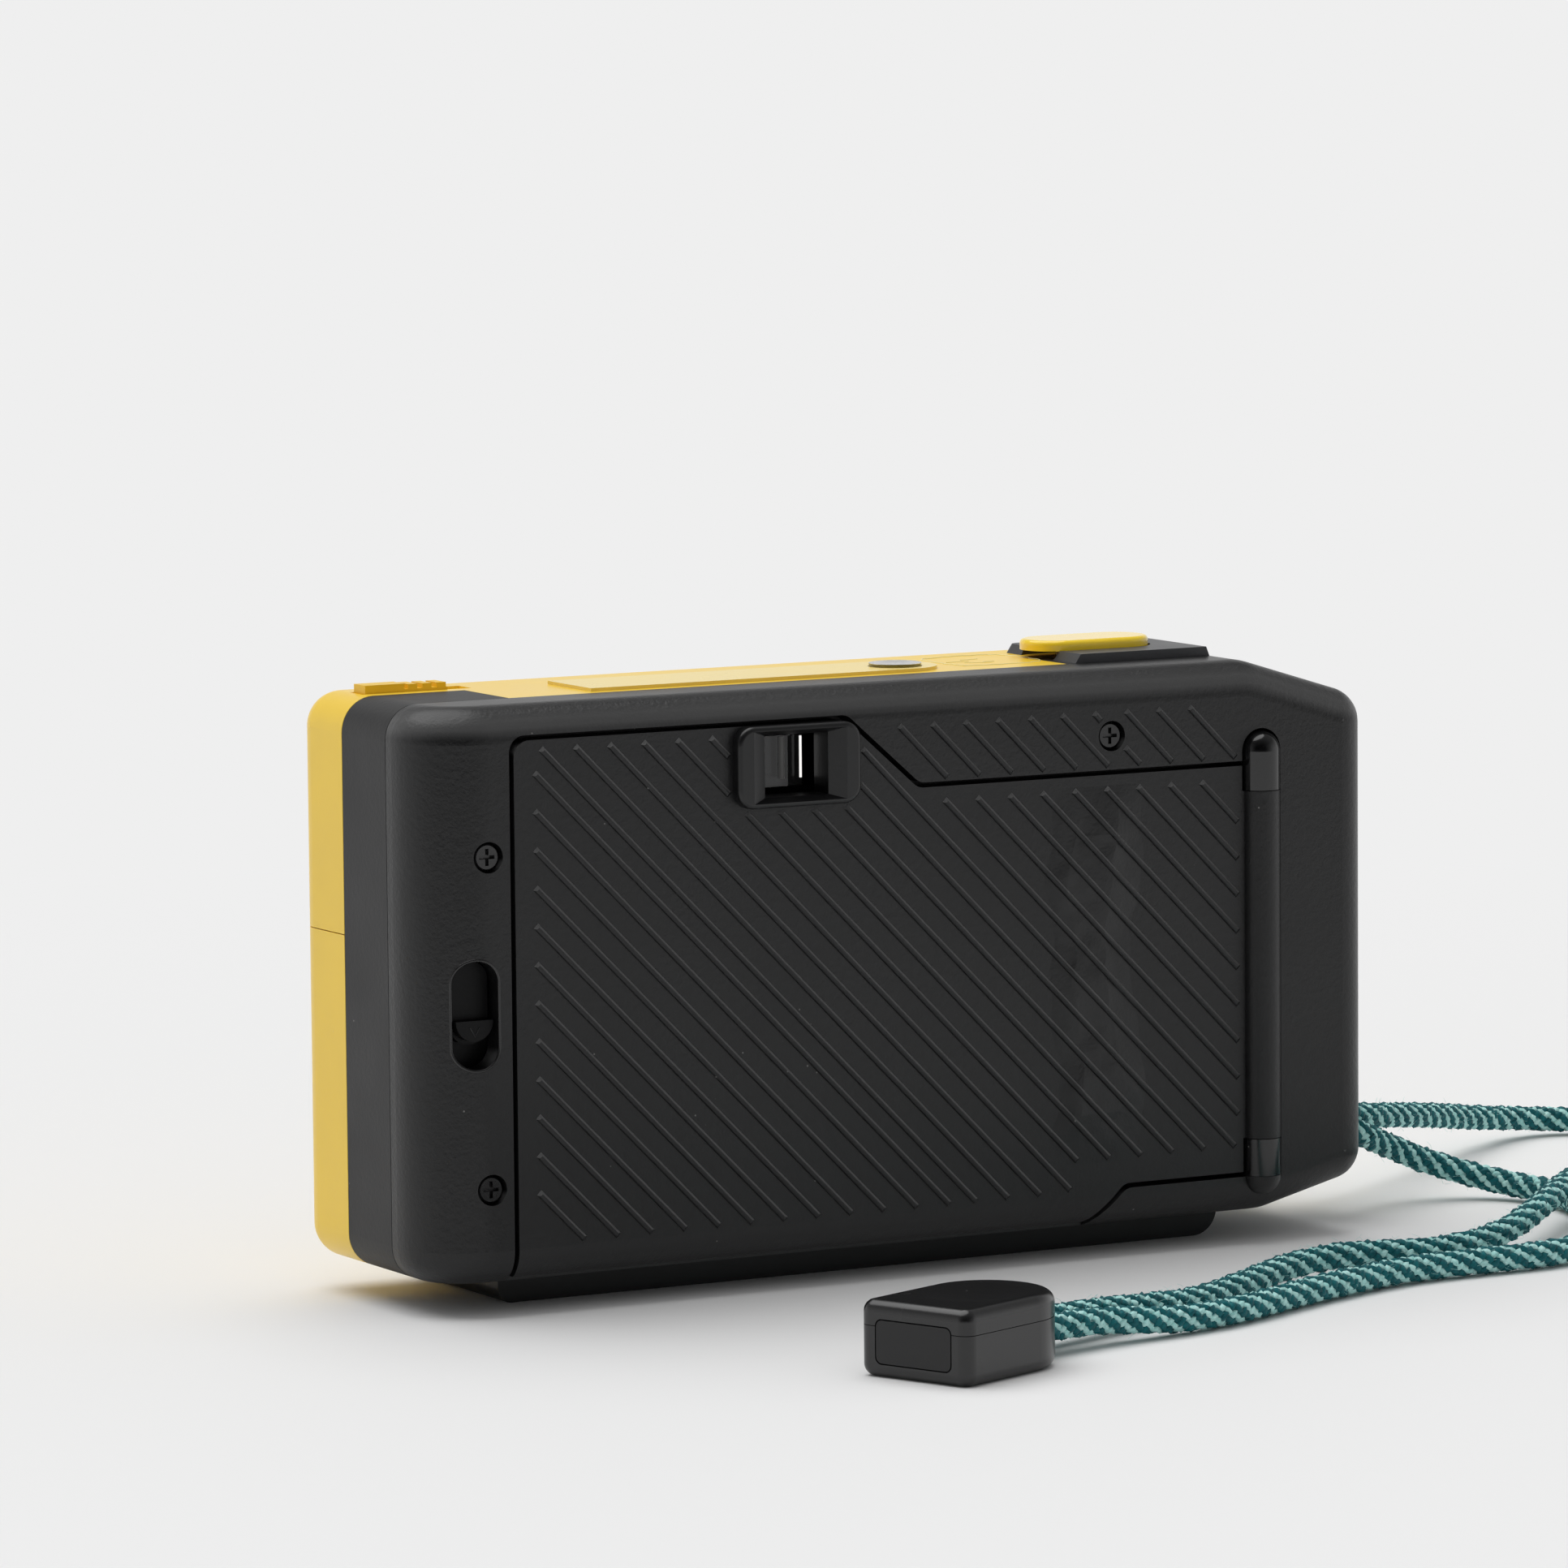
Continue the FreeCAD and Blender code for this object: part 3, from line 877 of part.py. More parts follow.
spring_base = "back_depth - rear_wall"
node("pressure_spring", prism("leaf_spring", "XY",
                              [("plate_middle - 14", "%s - 0.08" % spring_base), ("plate_middle", "%s + 0.9" % spring_base),
                               ("plate_middle + 14", "%s - 0.08" % spring_base), ("plate_middle + 14", "%s + 0.2" % spring_base),
                               ("plate_middle", "%s + 1.2" % spring_base), ("plate_middle - 14", "%s + 0.2" % spring_base)],
                              ("film_z - 3", "film_z + 3")))
seals = [box("seal_top", ("cassette_x - cassette_radius", "cassette_x + cassette_radius"), ("rim_y", "rim_y + 0.25"),
             ("chamber_top + 0.3", "chassis_top - 0.4")),
         box("seal_latch", ("chassis_left - 1.1", "chassis_left - 0.2"), ("rim_y", "rim_y + 0.25"), ("chamber_low", "34")),
         box("seal_low", ("-24", "22"), ("rim_y", "rim_y + 0.25"), ("11", "12.6"))]
node("light_seals", group("seal_group", *seals))
contacts = [box("code_contact_%d" % number, ("cassette_x - cassette_radius", "cassette_x - cassette_radius + 0.3"),
                ("5", "9"), (str(20 + number * 5), str(22 + number * 5))) for number in range(4)]
node("cassette_contacts", group("contact_group", *contacts))

# latch
latch_plate = box("latch_plate", ("slot_right + run_gap", "slot_left - run_gap"), ("14.8", "16.2"), ("slot_low + 2.9", "slot_top - run_gap"))
latch_plate = rounded("latch_plate_round", latch_plate, 2.2, lambda edge: along(edge, "Y"))
grip = rod("latch_grip", "Y", ("slot_x", "35.4"), ("15.5", "17.7"), "slot_half - run_gap")
grip = common("latch_grip_half", grip, box("grip_half", ("slot_right", "slot_left"), ("15", "18"), ("31", "35.4")))
latch_bar = box("latch_bar", ("slot_right - 0.4", "slot_left - 0.1"), ("13.6", "15"), ("slot_low - 1.1", "slot_top + 2.4"))
latch_tab = box("latch_tab", ("door_left + 0.6", "slot_right - 0.2"), ("13.6", "15"), ("35.5", "38.5"))
latch_whole = fuse("latch_whole", latch_plate, grip, latch_bar, latch_tab)
node("door_latch", latch_whole)
node("latch_spring", cut("latch_spring_shape", rod("latch_spring_outer", "Z", ("slot_x", "14.2"), ("20", "slot_low - 1.1"), "1.1"),
                         rod("latch_spring_inner", "Z", ("slot_x", "14.2"), ("19", "30"), "0.7")))

# screws
screws = []
for number, (across, height) in enumerate(SCREWS):
    head = rod("screw_head_%d" % number, "Y", (across, height), ("back_depth - 2", "back_depth - screw_sink"), "screw_radius")
    head = bevelled("screw_head_soft_%d" % number, head, 0.3,
                    lambda edge: near(edge.BoundBox.YMin, size["back_depth"] - size["screw_sink"])
                    and near(edge.BoundBox.YMax, size["back_depth"] - size["screw_sink"]))
    shank = rod("screw_shank_%d" % number, "Y", (across, height), ("9.7", "back_depth - 1.9"), "0.9")
    cross = fuse("screw_cross_%d" % number,
                 box("cross_bar_a_%d" % number, ("%s - 1" % across, "%s + 1" % across), ("back_depth - screw_sink - 0.7", "back_depth"),
                     ("%s - 0.22" % height, "%s + 0.22" % height)),
                 box("cross_bar_b_%d" % number, ("%s - 0.22" % across, "%s + 0.22" % across), ("back_depth - screw_sink - 0.7", "back_depth"),
                     ("%s - 1" % height, "%s + 1" % height)))
    screws.append(cut("screw_%d" % number, fuse("screw_body_%d" % number, head, shank), cross))
node("rear_screws", group("screw_group", *screws))

# top controls
bezel_left, bezel_right = "-tongue_right - 0.5", "-body_width / 2 + slope_run - 0.2"
bezel_block = prism("bezel_block", "XZ", [(bezel_left, "body_height - 1.2"), ("%s - 1.6" % bezel_left, "bezel_top"),
                                          ("%s + 0.9" % bezel_right, "bezel_top"), (bezel_right, "body_height - 1.2")],
                    ("-9.1", "rear_seam - 0.05"))
bezel_block = rounded("bezel_soft", bezel_block, 1.2, lambda edge: abs(edge.BoundBox.ZLength - (size["bezel_top"] - size["body_height"] + 1.2)) < 0.01
                      and edge.BoundBox.YMin < -9)
button_half = "(button_long - button_wide) / 2"
button_room = stadium("button_room", "Z", ("-button_x - %s" % button_half, "-button_y"), ("-button_x + %s" % button_half, "-button_y"),
                      ("body_height - 2", "bezel_top + 1"), "button_wide / 2 + run_gap")
node("shutter_bezel", cut("bezel_seated", cut("bezel_open", bezel_block, button_room), outer))
button_pad = stadium("button_pad", "Z", ("-button_x - %s" % button_half, "-button_y"), ("-button_x + %s" % button_half, "-button_y"),
                     ("body_height + button_travel + 0.1", "button_top"), "button_wide / 2")
button_pad = rounded("button_pad_soft", button_pad, 0.6, lambda edge: near(edge.BoundBox.ZMin, size["button_top"]))
button_stem = rod("button_stem", "Z", ("-button_x", "-button_y"), ("body_height - 4.4", "body_height + button_travel + 0.3"), "2.3")
node("shutter_button", fuse("button_whole", button_pad, button_stem))
node("shutter_button_spring", cut("button_spring_shape",
                                  rod("button_spring_outer", "Z", ("-button_x", "-button_y"), ("body_height - 1.4", "body_height + button_travel + 0.1"), "3.5"),
                                  rod("button_spring_inner", "Z", ("-button_x", "-button_y"), ("body_height - 2", "body_height + 2"), "2.75")))
switch_base = box("switch_base", ("switch_left - 10.9", "switch_left"), ("-8.2", "-5.2"), ("body_height - 0.25", "body_height + 0.35"))
switch_block = box("switch_block", ("switch_left - 5.2", "switch_left"), ("-8.2", "-5.2"), ("body_height + 0.3", "body_height + 1"))
switch_ridges = [box("switch_ridge_%d" % number, ("switch_left - %s" % (10.7 - number * 1.9), "switch_left - %s" % (9.5 - number * 1.9)), ("-8.2", "-5.2"),
                     ("body_height + 0.3", "body_height + 0.9")) for number in range(3)]
switch_stem = box("switch_stem", ("switch_left - 7.2", "switch_left - 3.3"), ("-7.1", "-6.3"), ("body_height - 2.9", "body_height"))
switch_foot = box("switch_foot", ("switch_left - 7.2", "switch_left - 3.3"), ("-8.2", "-5.2"), ("body_height - 3", "body_height - wall - 0.15"))
node("flash_switch", fuse("switch_whole", switch_base, switch_block, switch_stem, switch_foot, *switch_ridges))
label = fuse("label_solid", box("label_bar", ("-counter_x", "tongue_left - 11.7"), ("counter_y - 6.6", "counter_y + 4.6"), ("body_height", "body_height + label_thick")),
             rod("label_end", "Z", ("-counter_x", "counter_y - 1"), ("body_height", "body_height + label_thick"), "5.6"))
node("label_plate", cut("label_open", label, counter_hole))
node("counter_window", rod("counter_window_shape", "Z", ("-counter_x", "counter_y"), ("body_height - 1.2", "body_height + 0.8"), "counter_radius"))
node("frame_counter_dial", cut("dial_shape",
                               rod("dial_disc", "Z", ("-counter_x", "counter_y - dial_radius + 1.6"), ("dial_top - 1", "dial_top"), "dial_radius"),
                               rod("dial_bore", "Z", ("-counter_x", "counter_y - dial_radius + 1.6"), ("dial_top - 2", "dial_top + 1"), "1.2 + shaft_gap")))

# foot plate and tripod bush
foot_block = box("foot_block", ("-foot_right", "foot_left"), ("-foot_front", "foot_rear"), ("0", "foot_height"))
foot_block = rounded("foot_end", foot_block, 3.4, lambda edge: along(edge, "Y") and near(edge.BoundBox.ZMin, 0)
                     and near(edge.BoundBox.XMin, -size["foot_right"]))
foot_block = rounded("foot_corner", foot_block, 1.8, lambda edge: along(edge, "Y") and near(edge.BoundBox.ZMin, 0)
                     and near(edge.BoundBox.XMin, size["foot_left"]))
node("foot_plate", cut("foot_bored", foot_block, bush_hole))
node("tripod_bush", cut("bush_shape", rod("bush_outer", "Z", ("lens_x", "-1"), ("0", "foot_height + wall"), "4.75"),
                        rod("bush_bore", "Z", ("lens_x", "-1"), ("-1", "tripod_deep"), "tripod_radius")))

# batteries
cell_rows = ("-4.8", "6.4")
cells = []
for number, row in enumerate(cell_rows):
    can = rod("cell_can_%d" % number, "Z", ("-cell_x", row), ("cell_low", "cell_low + cell_long - 1"), "cell_radius")
    nub = rod("cell_nub_%d" % number, "Z", ("-cell_x", row), ("cell_low + cell_long - 2", "cell_low + cell_long"), "2.7")
    cells.append(fuse("cell_%d" % number, can, nub))
node("batteries", group("cell_group", *cells))
shelf_plate = box("shelf_plate", ("-bay_outer - 0.2", "-chassis_right"), ("-13.4", "13"),
                  ("cell_top + 0.6", "cell_top + 2.1"))
node("battery_shelf", common("shelf_fitted", inner, shelf_plate))
node("battery_contacts", group("contact_plates", *[box("contact_plate_%d" % number, ("-cell_x - 4", "-cell_x + 4"), ("%s - 3.5" % row, "%s + 3.5" % row),
                                                        ("cell_top + 0.05", "cell_top + 0.6"))
                                                    for number, row in enumerate(cell_rows)]))
battery_block = common("battery_block", outer, box("battery_prism", ("-bay_outer + lid_gap", "-lid_axis_x"), ("-12.9", "14.5"), ("0", "7.6")))
battery_lid = fuse("battery_lid", cut("battery_plate", battery_block, inner),
                   rod("lid_hinge_edge", "Y", ("-lid_axis_x", "lid_axis_z"), ("-12.9", "14.5"), "lid_barrel"),
                   rod("lid_pegs", "Y", ("-lid_axis_x", "lid_axis_z"), ("-13.6", "15.2"), "lid_peg"))
node("battery_door", battery_lid)
springs = [cut("battery_spring_%d" % number, cone("battery_cone_%d" % number, "Z", ("-cell_x", row), ("lid_axis_z + lid_barrel + 0.15", "cell_low - 0.05"), ("3.6", "1.6")),
               battery_lid) for number, row in enumerate(cell_rows)]
node("battery_springs", group("battery_spring_group", *springs))

# lens and shutter
front = "-front_depth"
node("lens_surround", turned("surround_shape", ("lens_x", "film_z"),
                             [("barrel_bore", "%s + wall" % front), ("barrel_bore + 1.9", "%s + wall" % front), ("barrel_bore + 1.9", front),
                              ("lens_ring_radius", front), ("lens_ring_radius - 1.2", "-lens_ring_front + 1.6"),
                              ("lens_ring_radius - 3", "-lens_ring_front"), ("barrel_bore + 1.4", "-lens_ring_front"),
                              ("barrel_bore", "-lens_ring_front + 2.4")]))
node("lens_barrel", turned("barrel_shape", ("lens_x", "film_z"),
                           [("6", "-10.65"), ("14.5", "-10.65"), ("14.5", "-11.8"), ("11.6", "-11.8"), ("11.6", "-18.2"),
                            ("10.9", "-19"), ("8.6", "-19"), ("6.5", "-17.2"), ("6.5", "-14.2"), ("5.2", "-14.2"), ("5.2", "-12.4"), ("6", "-11.6")]))
node("lens_front_element", turned("front_element_shape", ("lens_x", "film_z"),
                                  [("0", "-14.2"), ("6.47", "-14.2"), ("6.47", "-16.2"), ("4.4", "-16.9"), ("2.2", "-17.25"), ("0", "-17.4")]))
node("lens_rear_element", turned("rear_element_shape", ("lens_x", "film_z"),
                                 [("0", "-12.6"), ("5.17", "-12.6"), ("5.17", "-13.6"), ("2.6", "-14"), ("0", "-14.1")]))
shutter_disc = cut("shutter_disc", rod("shutter_disc_rod", "Y", ("lens_x", "film_z"), ("-8.2", "-7.2"), "12.7"),
                   rod("shutter_aperture", "Y", ("lens_x", "film_z"), ("-9", "-7"), "3"))
PIVOTS = [("lens_x - 7.5", "film_z + 6"), ("lens_x + 7.5", "film_z + 6")]
pins = [rod("blade_pin_%d" % number, "Y", spot, ("-9.6", "-8"), "0.8") for number, spot in enumerate(PIVOTS)]
node("shutter_plate", fuse("shutter_plate_whole", shutter_disc, *pins))
LAYERS = [("-8.75", "-8.4"), ("-9.4", "-9.05")]
for number, side in enumerate(("left", "right")):
    sign = 1 if number == 0 else -1
    arm = prism("blade_arm_%d" % number, "XZ",
                [("%s - 1.2" % PIVOTS[number][0], "%s + 1" % PIVOTS[number][1]), ("%s + 1.2" % PIVOTS[number][0], "%s + 1" % PIVOTS[number][1]),
                 ("lens_x + %s" % (3.2 if number == 0 else 1.6), "film_z + 2"), ("lens_x - %s" % (1.6 if number == 0 else 3.2), "film_z + 2")]
                if number == 0 else
                [("%s - 1.2" % PIVOTS[number][0], "%s + 1" % PIVOTS[number][1]), ("%s + 1.2" % PIVOTS[number][0], "%s + 1" % PIVOTS[number][1]),
                 ("lens_x + 1.6", "film_z + 2"), ("lens_x - 3.2", "film_z + 2")],
                LAYERS[number])
    disc = rod("blade_disc_%d" % number, "Y", ("lens_x", "film_z"), LAYERS[number], "blade_radius")
    hub = rod("blade_hub_%d" % number, "Y", PIVOTS[number], LAYERS[number], "1.7")
    bore = rod("blade_bore_%d" % number, "Y", PIVOTS[number], ("-10", "-8"), "0.8 + shaft_gap")
    node("shutter_blade_%s" % side, cut("blade_%d" % number, fuse("blade_solid_%d" % number, arm, disc, hub), bore))

# flash
node("flash_window", rounded("flash_window_shape", box("flash_window_block", ("flash_right + fit_gap", "flash_left - fit_gap"), ("%s - 0.3" % front, "%s + wall" % front),
                                                       ("flash_low + fit_gap", "flash_top - fit_gap")), 0.5,
                             lambda edge: near(edge.BoundBox.YMax, -size["front_depth"] - 0.3)))
reflector_block = box("reflector_block", ("flash_right + 1", "flash_left - 1"), ("%s + wall" % front, "-6"), ("flash_top - 6.8", "flash_top - 0.2"))
reflector_bowl = prism("reflector_bowl", "YZ",
                       [("%s + wall - 1" % front, "flash_top - 6.3"), ("-9", "flash_top - 5.4"), ("-7", "flash_top - 3.5"),
                        ("-9", "flash_top - 1.6"), ("%s + wall - 1" % front, "flash_top - 0.7")],
                       ("flash_right + 1.6", "flash_left - 1.6"))
node("flash_reflector", cut("reflector_shape", reflector_block, reflector_bowl))
node("flash_tube", rod("flash_tube_shape", "X", ("-9.6", "flash_top - 3.5"), ("flash_right + 1.65", "flash_left - 1.65"), "1.3"))
node("flash_capacitor", rod("capacitor_shape", "Z", ("cap_x", "-6.9"), ("foot_height + wall", "46"), "4.2"))
node("circuit_board", box("board_shape", ("-chassis_right + 1.9", "chassis_left - 18"), ("-11.7", "-10.65"), ("film_z + 15.3", "chassis_top - 3.2")))

# strap lug
lug_arms = [box("lug_arm_low", ("-lug_bar_x", "-body_width / 2 + 1.2"), ("lug_bar_y - lug_bar_radius", "lug_bar_y + lug_bar_radius"), ("lug_low", "lug_low + 1.4")),
            box("lug_arm_top", ("-lug_bar_x", "-body_width / 2 + 1.2"), ("lug_bar_y - lug_bar_radius", "lug_bar_y + lug_bar_radius"), ("lug_top - 1.4", "lug_top"))]
lug_bar = rod("lug_bar", "Z", ("-lug_bar_x", "lug_bar_y"), ("lug_low", "lug_top"), "lug_bar_radius")
node("strap_lug", fuse("lug_whole", lug_bar, *lug_arms))

# fob
FOB_NEAR_CORNER = Vector(32.6, 87.8, 0)
FOB_TURN = 202.3
half_wide = size["fob_wide"] / 2
fob_axis = Vector(math.cos(math.radians(FOB_TURN)), math.sin(math.radians(FOB_TURN)), 0)
fob_side = Vector(-fob_axis.y, fob_axis.x, 0)
fob_seat = Placement(FOB_NEAR_CORNER - Vector(fob_side.x, fob_side.y, 0) * -half_wide, Rotation(Vector(0, 0, 1), FOB_TURN))


def fob_part(name, low, high, round_low, round_high):
    """Make one half of the fob: straight sides, round end, rounded outer edges."""
    straight = size["fob_long"] - half_wide
    block = Part.makeBox(straight, size["fob_wide"], high - low, Vector(0, -half_wide, low))
    block = block.fuse(Part.makeCylinder(half_wide, high - low, Vector(straight, 0, low))).removeSplitter()
    upright = [edge for edge in block.Edges if along(edge, "Z") and near(edge.BoundBox.XMin, 0)]
    block = block.makeFillet(size["fob_round"], upright)
    level = [edge for edge in block.Edges if
             (round_low and near(edge.BoundBox.ZMax, low)) or (round_high and near(edge.BoundBox.ZMin, high))]
    return block.makeFillet(size["fob_round"] - 0.1, level)


def feature(name, shape, seat=None):
    """Keep a shape made directly as a document object, at its place."""
    item = doc.addObject("Part::Feature", name)
    item.Shape = shape
    if seat:
        item.Placement = seat
    return item


panel_deep = 0.8
panel = Part.makeBox(panel_deep, 10.6, 4.9, Vector(0, -5.3, 1.7))
panel = panel.makeFillet(0.8, [edge for edge in panel.Edges if along(edge, "X")])
panel_room = Part.makeBox(panel_deep, 10.9, 5.2, Vector(0, -5.45, 1.55))
panel_room = panel_room.makeFillet(0.9, [edge for edge in panel_room.Edges if along(edge, "X")])
fob_low = fob_part("fob_low", 0, size["fob_split"] - 0.04, True, False).cut(panel_room)
fob_top = fob_part("fob_top", size["fob_split"] + 0.04, size["fob_high"], False, True).cut(panel_room)
cord_sink, cord_apart, cord_level = 2.6, 1.78, 3.3
for side in (-cord_apart, cord_apart):
    mouth = Vector(size["fob_long"] - cord_sink, side, cord_level)
    fob_low = fob_low.cut(Part.makeCylinder(size["cord_radius"] + size["fit_gap"], cord_sink + 1, mouth, Vector(1, 0, 0)))
dish = Part.makeSphere(60, Vector(size["fob_long"] * 0.52, 0, size["fob_high"] + 60 - 0.35))
fob_top = fob_top.cut(dish)
node("fob_body", feature("fob_body_shape", fob_low, fob_seat))
node("fob_lid", feature("fob_lid_shape", fob_top, fob_seat))
node("fob_end_panel", feature("fob_panel_shape", panel, fob_seat))

# cords


def cord_path(points):
    """Join straight runs with the largest tangent arcs that their lengths allow."""
    edges, radii = [], []
    start = points[0]
    for index in range(1, len(points) - 1):
        before, spot, after = points[index - 1], points[index], points[index + 1]
        into, out = spot - before, after - spot
        shorter = min(into.Length, out.Length)
        into.normalize()
        out.normalize()
        turn = into.getAngle(out)
        trim = 0.45 * shorter
        radius = trim / math.tan(turn / 2)
        radii.append(radius)
        first, last = spot - into * trim, spot + out * trim
        inward = (out - into).normalize()
        centre = spot + inward * (radius / math.cos(turn / 2))
        middle = centre - inward * radius
        edges.append(Part.LineSegment(start, first).toShape())
        edges.append(Part.Arc(first, middle, last).toShape())
        start = last
    edges.append(Part.LineSegment(start, points[-1]).toShape())
    return edges, radii


def cord_tube(name, points, loop=None):
    """Sweep the cord's round section along its route and check the volume."""
    edges, radii = cord_path([Vector(*point) for point in points])
    if loop:
        edges.insert(0, loop)
    wire = Part.Wire(edges)
    begin = wire.Edges[0]
    heading = begin.tangentAt(begin.FirstParameter)
    section = Part.Wire([Part.Circle(begin.valueAt(begin.FirstParameter), heading, size["cord_radius"]).toShape()])
    tube = wire.makePipeShell([section], True, False)
    expected = math.pi * size["cord_radius"] ** 2 * wire.Length
    print(name, "length %.1f" % wire.Length, "radii", ["%.1f" % radius for radius in radii],
          "volume ratio %.4f" % (tube.Volume / expected))
    return feature(name + "_shape", tube)


OUTER_ROUTE = [
    (-68.58, -1.36, 12.9), (-73.2, -4.74, 11.21), (-83.5, -10.8, 9.7), (-99.0, -22.0, 7.2), (-114.0, -33.5, 4.2),
    (-127.5, -40.5, 2.2), (-139.0, -33.5, 1.8), (-144.0, -20.0, 1.8), (-139.5, -5.0, 1.8), (-126.0, 3.0, 2.8),
    (-108.0, 11.5, 5.2), (-91.0, 23.8, 5.4), (-79.5, 35.2, 4.9), (-68.5, 42.8, 2.8), (-56.5, 45.6, 2.1),
    (-45.8, 43.6, 2.6), (-36.0, 45.8, 2.4), (-25.5, 53.0, 2.1), (-13.5, 60.4, 1.9), (-4.5, 63.4, 2.6),
    (7.02, 66.96, 3.3), (18.94, 71.85, 3.3),
]
INNER_ROUTE = [
    (-72.22, 4.96, 10.2), (-76.9, 1.54, 8.49), (-82.9, -0.5, 5.9), (-89.4, 0.6, 3.5), (-94.35, 5.15, 2.1),
    (-96.2, 11.6, 1.8), (-95.0, 18.8, 1.8), (-90.8, 27.6, 1.8), (-87.5, 37.0, 1.8), (-81.0, 46.5, 1.8),
    (-71.0, 52.3, 1.8), (-58.0, 52.4, 1.8), (-48.0, 52.9, 1.8), (-37.5, 56.6, 1.8), (-27.0, 61.2, 1.8),
    (-16.5, 66.8, 1.8), (-5.5, 69.9, 1.8), (7.41, 70.98, 3.3), (17.59, 75.15, 3.3),
]
loop_start = Vector(*INNER_ROUTE[0])
loop_end = Vector(*OUTER_ROUTE[0])
leaving = (Vector(*OUTER_ROUTE[1]) - loop_end).normalize()
print("loop square to the cord %.4f" % leaving.dot((loop_start - loop_end).normalize()))
loop_middle = (loop_start + loop_end) * 0.5 - leaving * ((loop_start - loop_end).Length / 2)
loop_arc = Part.Arc(loop_start, loop_middle, loop_end).toShape()
node("strap_cord_outer", cord_tube("strap_cord_outer", OUTER_ROUTE, loop_arc))
node("strap_cord_inner", cord_tube("strap_cord_inner", INNER_ROUTE))

# build, check, write
doc.recompute()
failed = [item.Name for item in doc.Objects if "Invalid" in item.State or "Error" in item.State]
broken = [name for name, item in nodes.items() if item.Shape.isNull() or not item.Shape.isValid()
          or not item.Shape.Solids]
if failed or broken:
    raise RuntimeError("failed objects %s, broken pieces %s" % (failed, broken))
os.makedirs("parts", exist_ok=True)
for name, item in nodes.items():
    item.Shape.exportStep("parts/%s.step" % name)
print(len(nodes), "pieces written")
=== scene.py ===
"""Looks of a compact film camera seen from behind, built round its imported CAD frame."""

import logging
import math
import random
from dataclasses import dataclass
from enum import Enum

import bpy
from mathutils import Matrix, Vector


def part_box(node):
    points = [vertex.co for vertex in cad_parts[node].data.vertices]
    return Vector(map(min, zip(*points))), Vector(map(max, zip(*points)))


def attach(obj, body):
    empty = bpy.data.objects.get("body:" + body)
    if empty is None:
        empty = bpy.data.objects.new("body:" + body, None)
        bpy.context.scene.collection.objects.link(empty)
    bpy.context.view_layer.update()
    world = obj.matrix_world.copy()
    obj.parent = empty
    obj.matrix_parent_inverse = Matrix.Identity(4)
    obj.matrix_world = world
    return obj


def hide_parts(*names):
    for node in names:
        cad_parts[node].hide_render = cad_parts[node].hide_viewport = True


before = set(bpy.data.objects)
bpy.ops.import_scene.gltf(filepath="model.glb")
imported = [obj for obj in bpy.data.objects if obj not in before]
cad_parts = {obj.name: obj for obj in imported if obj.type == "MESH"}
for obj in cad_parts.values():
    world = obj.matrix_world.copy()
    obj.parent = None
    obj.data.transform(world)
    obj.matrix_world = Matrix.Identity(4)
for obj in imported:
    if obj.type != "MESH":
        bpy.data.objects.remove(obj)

MM = 0.001
MOULD_RELIEF = 0.1 * MM
FINE_RELIEF = 0.05 * MM
LOG = logging.getLogger("camera looks")
Colour = tuple[float, float, float, float]
WHITE: Colour = (1.0, 1.0, 1.0, 1.0)
DUST_GREY: Colour = (0.5, 0.49, 0.47, 1.0)
RISE_OF_SLOPES = (0.12, 0.4)
RISE_OF_TOPS = (0.62, 0.9)


def millimetres(x: float, y: float, z: float) -> Vector:
    """A point of the CAD frame, given in millimetres."""
    return Vector((x, y, z)) * MM


def paint(red: float, green: float, blue: float) -> Colour:
    """A colour as a screen shows it, 0 to 255 each, in the linear values that shaders take."""
    shares = [value / 255 for value in (red, green, blue)]
    linear = [share / 12.92 if share <= 0.04045 else ((share + 0.055) / 1.055) ** 2.4 for share in shares]
    return (linear[0], linear[1], linear[2], 1.0)


# Studio


@dataclass
class PhotoView:
    """Where the photographer stood.

    Attributes:
        turn: the turn round the camera body, 0 in front of it.
        height: the angle above the floor.
        tilt: how far the picture leans.
        distance: how far the view is from what it aims at.
        aim: the place that it aims at, before the shifts.
        sensor: the width of the picture behind the lens, in millimetres.
        lens: the lens's length, in millimetres.
        shift_across: how far the view slides sideways, as a part of the picture's width at the aim.
        shift_up: how far it slides up, as a part of that width.
    """

    turn: float = math.radians(151.25)
    height: float = math.radians(6.117)
    tilt: float = math.radians(-0.52)
    distance: float = 1058.926 * MM
    aim: Vector = millimetres(0, 3.3, 38)
    sensor: float = 36.0
    lens: float = 200.44
    shift_across: float = 0.04247
    shift_up: float = 0.10693

    def place(self) -> None:
        """Makes the scene's camera."""
        back = Vector(
            (
                math.sin(self.turn) * math.cos(self.height),
                -math.cos(self.turn) * math.cos(self.height),
                math.sin(self.height),
            )
        )
        level = Vector((math.cos(self.turn), math.sin(self.turn), 0))
        rise = back.cross(level)
        across = level * math.cos(self.tilt) + rise * math.sin(self.tilt)
        up = rise * math.cos(self.tilt) - level * math.sin(self.tilt)
        reach = self.distance * self.sensor / self.lens
        stand = self.aim + back * self.distance
        stand += up * (self.shift_up * reach) - across * (self.shift_across * reach)
        data = bpy.data.cameras.new("photo view")
        data.sensor_width = self.sensor
        data.lens = self.lens
        data.clip_start = 0.05
        data.clip_end = 30.0
        view = bpy.data.objects.new("photo view", data)
        bpy.context.scene.collection.objects.link(view)
        view.matrix_world = Matrix(
            (
                (across.x, up.x, back.x, stand.x),
                (across.y, up.y, back.y, stand.y),
                (across.z, up.z, back.z, stand.z),
                (0, 0, 0, 1),
            )
        )
        bpy.context.scene.camera = view


